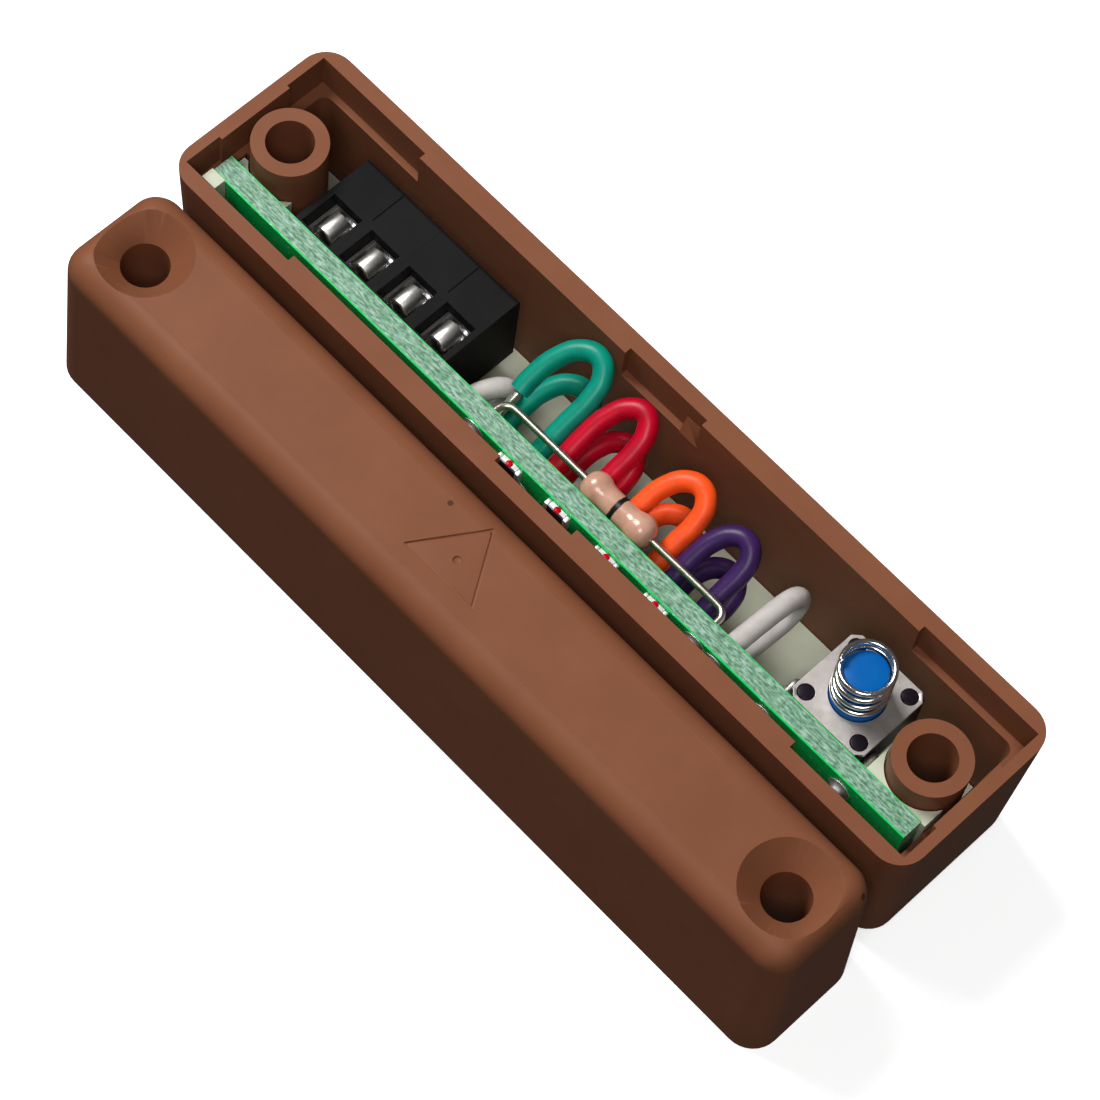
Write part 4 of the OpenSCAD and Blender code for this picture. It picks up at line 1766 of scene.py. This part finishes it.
@dataclass
class TamperSwitch:
    """The sprung tamper switch: base, plate, legs, stem and coil spring."""

    peg_spacing: float = 4.5
    peg_radius: float = 0.55
    stem_radius: float = 1.43
    flange_radius: float = 1.78
    foot_radius: float = 2.3
    wire_radius: float = 0.19
    turns: float = 4.4
    closed_turns: float = 0.8
    dome_sheet: float = 0.1
    press: float = 0.25
    press_slack: float = 0.015
    spring_press: float = 0.65
    closed_pitch: float = 2.15
    plate_corner: float = 0.5
    well_radius: float = 2.45
    well_floor: float = 0.7
    leg_radius: float = 0.27
    leg_inset: float = 0.28

    def build(self) -> None:
        """Makes every piece of the switch."""
        self._base()
        self._plate()
        self._stem()
        self._spring()
        self._legs()
        self._dome()

    def _centre(self) -> Vector:
        """Gives the middle of the switch."""
        low, high = box_mm("switch_base")
        return (low + high) / 2

    def _pegs(self, name: str, low_z: float, high_z: float, radius: float) -> list[Piece]:
        """Makes the four pegs at the corners, or the tools for their holes.

        Args:
            name: The name of each.
            low_z: The height of the lower end.
            high_z: The height of the upper end.
            radius: The radius.

        Returns:
            The four pieces.
        """
        centre = self._centre()
        tall = high_z - low_z
        profile = [(0.0, radius), (tall - 0.06, radius), (tall - 0.02, radius * 0.94),
                   (tall, radius * 0.82)]
        half = self.peg_spacing / 2
        return [
            Bench.turned(name, (centre.x + dx * half, centre.y + dy * half, low_z), Axis.Z,
                         profile, sides=32)
            for dx in (-1, 1) for dy in (-1, 1)
        ]

    def _base(self) -> None:
        """Makes the base with its well and riveted pegs."""
        low, high = box_mm("switch_base")
        plate_low, _ = box_mm("switch_cover")
        centre = self._centre()
        base = Bench.block("switch_body", low, (high.x, high.y, plate_low.z))
        Bench.round_edges(base, stands, 0.25, steps=4)
        well = Bench.rod("well_tool", (centre.x, centre.y, low.z + self.well_floor), Axis.Z,
                         4.0, self.well_radius)
        Bench.shape(base, [well], Joining.CUTS)
        pegs = self._pegs("peg", plate_low.z - 0.3, high.z, self.peg_radius)
        Bench.shape(base, pegs, Joining.ADDS)
        Bench.soften(base, 0.03, steps=2)
        settle(base, Finishes.base, Body.SENSOR.value, ["switch_base"])

    def _plate(self) -> None:
        """Makes the stamped plate over the base."""
        low, high = box_mm("switch_cover")
        centre = self._centre()
        plate = Bench.block("switch_top_plate", low, high)
        Bench.round_edges(plate, lambda a, b: abs(a.z - b.z) > 0.1, self.plate_corner, steps=1)
        hole = Bench.rod("hole_tool", (centre.x, centre.y, low.z - 1), Axis.Z,
                         3.0, self.flange_radius + 0.08, sides=64)
        holes = self._pegs("peg_tool", low.z - 1, high.z + 1, self.peg_radius + 0.03)
        Bench.shape(plate, [hole, *holes], Joining.CUTS)
        Bench.soften(plate, 0.05, steps=2)
        settle(plate, Finishes.cover, Body.SENSOR.value, ["switch_cover"])

    def _stem(self) -> None:
        """Makes the stepped stem."""
        low, high = box_mm("switch_stem")
        _, plate_high = box_mm("switch_cover")
        flange = plate_high.z + 0.45 - low.z
        tall = high.z - low.z
        foot, wide, thin = self.foot_radius, self.flange_radius, self.stem_radius
        profile = [
            (0.0, 0.7), (0.1, 0.8), (0.45, 0.8), (0.45, 2.2), (0.55, foot), (1.15, foot),
            (1.25, 2.2), (1.25, wide), (flange - 0.1, wide), (flange - 0.02, 1.72), (flange, 1.6),
            (flange, 1.46), (flange + 0.1, thin), (tall - 0.16, thin), (tall - 0.05, 1.38),
            (tall, 1.27), (tall, 0.6),
        ]
        centre = self._centre()
        stem = Bench.turned("switch_stem_turned", (centre.x, centre.y, low.z), Axis.Z, profile,
                            sides=64)
        Bench.soften(stem, 0.0, angle=28)
        settle(stem, Finishes.stem, Body.PLUNGER.value, ["switch_stem"])

    def _spring(self) -> None:
        """Coils the spring, with closed turns at both ends."""
        low, high = box_mm("tamper_spring")
        centre = self._centre()
        middle = (high.x - low.x) / 2 - self.wire_radius
        foot, head = low.z + self.wire_radius, high.z - self.wire_radius
        closed = self.closed_turns
        closed_rise = self.closed_pitch * self.wire_radius * closed
        steps = int(self.turns * 36)
        path = []
        for step in range(steps + 1):
            turn = self.turns * step / steps
            if turn < closed:
                rise = closed_rise * (turn / closed)
            elif turn > self.turns - closed:
                rise = (head - foot) - closed_rise * (self.turns - turn) / closed
            else:
                share = (turn - closed) / (self.turns - 2 * closed)
                rise = closed_rise + (head - foot - 2 * closed_rise) * share
            angle = 2 * math.pi * turn + 1.2
            path.append((centre.x + middle * math.cos(angle), centre.y + middle * math.sin(angle),
                         foot + rise))
        coil = Bench.wire("tamper_coil", path, self.wire_radius, smooth=False, roundness=4)
        Bench.soften(coil, 0.0, angle=50)
        settle(coil, Finishes.spring, Body.SENSOR.value, ["tamper_spring"])
        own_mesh(coil)

    def _dome(self) -> None:
        """Makes the thin contact dome."""
        low, high = box_mm("switch_dome")
        centre = self._centre()
        rim, rise = (high.x - low.x) / 2, high.z - low.z
        outer = (rim * rim + rise * rise) / (2 * rise)
        inner = outer - self.dome_sheet
        drop = outer - rise
        profile = []
        for share in (0.04, 0.25, 0.5, 0.75, 1.0):
            radius = math.sqrt(inner * inner - drop * drop) * share
            profile.append((math.sqrt(inner * inner - radius * radius) - drop, radius))
        for share in (1.0, 0.75, 0.5, 0.25, 0.04):
            radius = rim * share
            profile.append((math.sqrt(outer * outer - radius * radius) - drop, radius))
        dome = Bench.turned("contact_dome", (centre.x, centre.y, low.z), Axis.Z, profile, sides=48)
        Bench.soften(dome, 0.0, angle=40)
        settle(dome, Finishes.plated, Body.SENSOR.value, ["switch_dome"])
        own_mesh(dome)

    def _legs(self) -> None:
        """Makes the two legs that go from the base through the board."""
        legs = []
        centre = self._centre()
        for number, (low, high) in enumerate(solid_boxes("switch_legs")):
            side = -1 if (low.x + high.x) / 2 < centre.x else 1
            x = low.x + self.leg_inset if side < 0 else high.x - self.leg_inset
            z = high.z - self.leg_inset
            legs.append(Bench.wire(
                f"leg_{number}",
                [(x, low.y, z), (x, high.y - 1.2, z), (x, high.y - 0.5, z - 0.1),
                 (x - side * 0.15, high.y - 0.35, z - 0.8)],
                self.leg_radius, roundness=3,
            ))
        pair = Bench.join("switch_leads", legs)
        Bench.soften(pair, 0.0, angle=45)
        settle(pair, Finishes.plated, Body.SENSOR.value, ["switch_legs"])


@dataclass
class HiddenPieces:
    """The pieces inside the halves that keep their CAD shape and get a finish."""

    def build(self) -> None:
        """Dresses each piece."""
        dress_node("reed_glass", Finishes.glass)
        for node in ("reed_blade_fixed", "reed_blade_moving", "reed_lead"):
            dress_node(node, Finishes.alloy)
        dress_node("bar_magnet", Finishes.sintered)
        dress_node("magnet_cradle", Finishes.carrier)


@dataclass(frozen=True)
class AreaLamp:
    """A soft lamp that is aimed at the object."""

    name: str
    place: Point
    size: float
    watts: float
    tint: tuple[float, float, float] = (1.0, 1.0, 1.0)

    def light(self, aim: Vector) -> None:
        """Hangs the lamp.

        Args:
            aim: The point that it faces.
        """
        bpy.ops.object.light_add(type="AREA", location=self.place)
        lamp = bpy.context.object
        lamp.name = self.name
        lamp.data.shape = "DISK"
        lamp.data.size = self.size
        lamp.data.energy = self.watts
        lamp.data.color = self.tint
        lamp.rotation_mode = "QUATERNION"
        lamp.rotation_quaternion = (aim - Vector(self.place)).to_track_quat("-Z", "Y")


@dataclass
class Studio:
    """The floor, the lamps, the surroundings and the camera."""

    floor_half: float = 1.5
    floor_gap: float = 0.05
    floor_glow: float = 0.55
    surround: float = 0.07
    azimuth: float = 36.7217
    elevation: float = 64.2509
    roll: float = 10.3353
    distance: float = 239.977
    aim: Point = (1.2508, 0.1332, 7.0)
    lamp_aim: Point = (0.0, 0.0, 0.007)
    lens: float = 124.97
    sensor: float = 36.0

    def build(self) -> None:
        """Sets the floor, the lamps, the surroundings and the camera."""
        self._floor()
        self._surroundings()
        aim = Vector(self.lamp_aim)
        AreaLamp("key_softbox", (-0.27, 0.0, 0.41), 0.24, 2.3).light(aim)
        AreaLamp("fill_card", (0.13, -0.19, 0.44), 0.20, 0.95).light(aim)
        self._camera()

    def _floor(self) -> None:
        """Lays a plain pale floor that passes no colour up to the object."""
        bpy.ops.object.select_all(action="DESELECT")
        bpy.ops.mesh.primitive_grid_add(
            x_subdivisions=4, y_subdivisions=4, size=2 * self.floor_half,
            location=(0, 0, -self.floor_gap * MM),
        )
        floor = bpy.context.object
        floor.name = "studio_floor"
        recipe = Recipe("floor_look")
        greys = [(0.3, (0.93, 0.93, 0.93, 1)), (0.7, (0.95, 0.95, 0.95, 1))]
        shade = recipe.ramp(recipe.noise(60.0, 2.0), greys)
        recipe.surface({
            "Base Color": shade,
            "Roughness": 0.9,
            "Specular IOR Level": 0.1,
            "Emission Color": WHITE,
            "Emission Strength": self.floor_glow,
        })
        floor.data.materials.append(recipe.material)
        floor.visible_diffuse = False
        floor.visible_glossy = False

    def _surroundings(self) -> None:
        """Gives the studio an even light from all round."""
        world = bpy.data.worlds.new("studio_world")
        world.use_nodes = True
        background = world.node_tree.nodes["Background"]
        background.inputs["Color"].default_value = WHITE
        background.inputs["Strength"].default_value = self.surround
        bpy.context.scene.world = world
        bpy.context.scene.view_settings.view_transform = "Standard"

    def _camera(self) -> None:
        """Places the camera."""
        turn, rise = math.radians(self.azimuth), math.radians(self.elevation)
        back = Vector((math.sin(turn) * math.cos(rise), -math.cos(turn) * math.cos(rise),
                       math.sin(rise)))
        bpy.ops.object.camera_add(location=(Vector(self.aim) + back * self.distance) * MM)
        camera = bpy.context.object
        camera.name = "main_camera"
        camera.rotation_mode = "QUATERNION"
        camera.rotation_quaternion = (-back).to_track_quat("-Z", "Y") @ Quaternion(
            (0.0, 0.0, 1.0), math.radians(self.roll)
        )
        camera.data.sensor_width = self.sensor
        camera.data.lens = self.lens
        camera.data.clip_start = 0.01
        camera.data.clip_end = 20.0
        bpy.context.scene.camera = camera


def main() -> None:
    """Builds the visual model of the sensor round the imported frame."""
    logging.basicConfig(level=logging.INFO, format="%(name)s: %(message)s")
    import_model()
    for assembly in (
        SensorCase(),
        MagnetCase(),
        Carrier(),
        Board(),
        TerminalStrip(),
        SelectorLoops(),
        LinkResistor(),
        ChipRow(),
        TamperSwitch(),
        HiddenPieces(),
        Studio(),
    ):
        LOG.info("building %s", type(assembly).__name__)
        assembly.build()


if __name__ == "__main__":
    main()
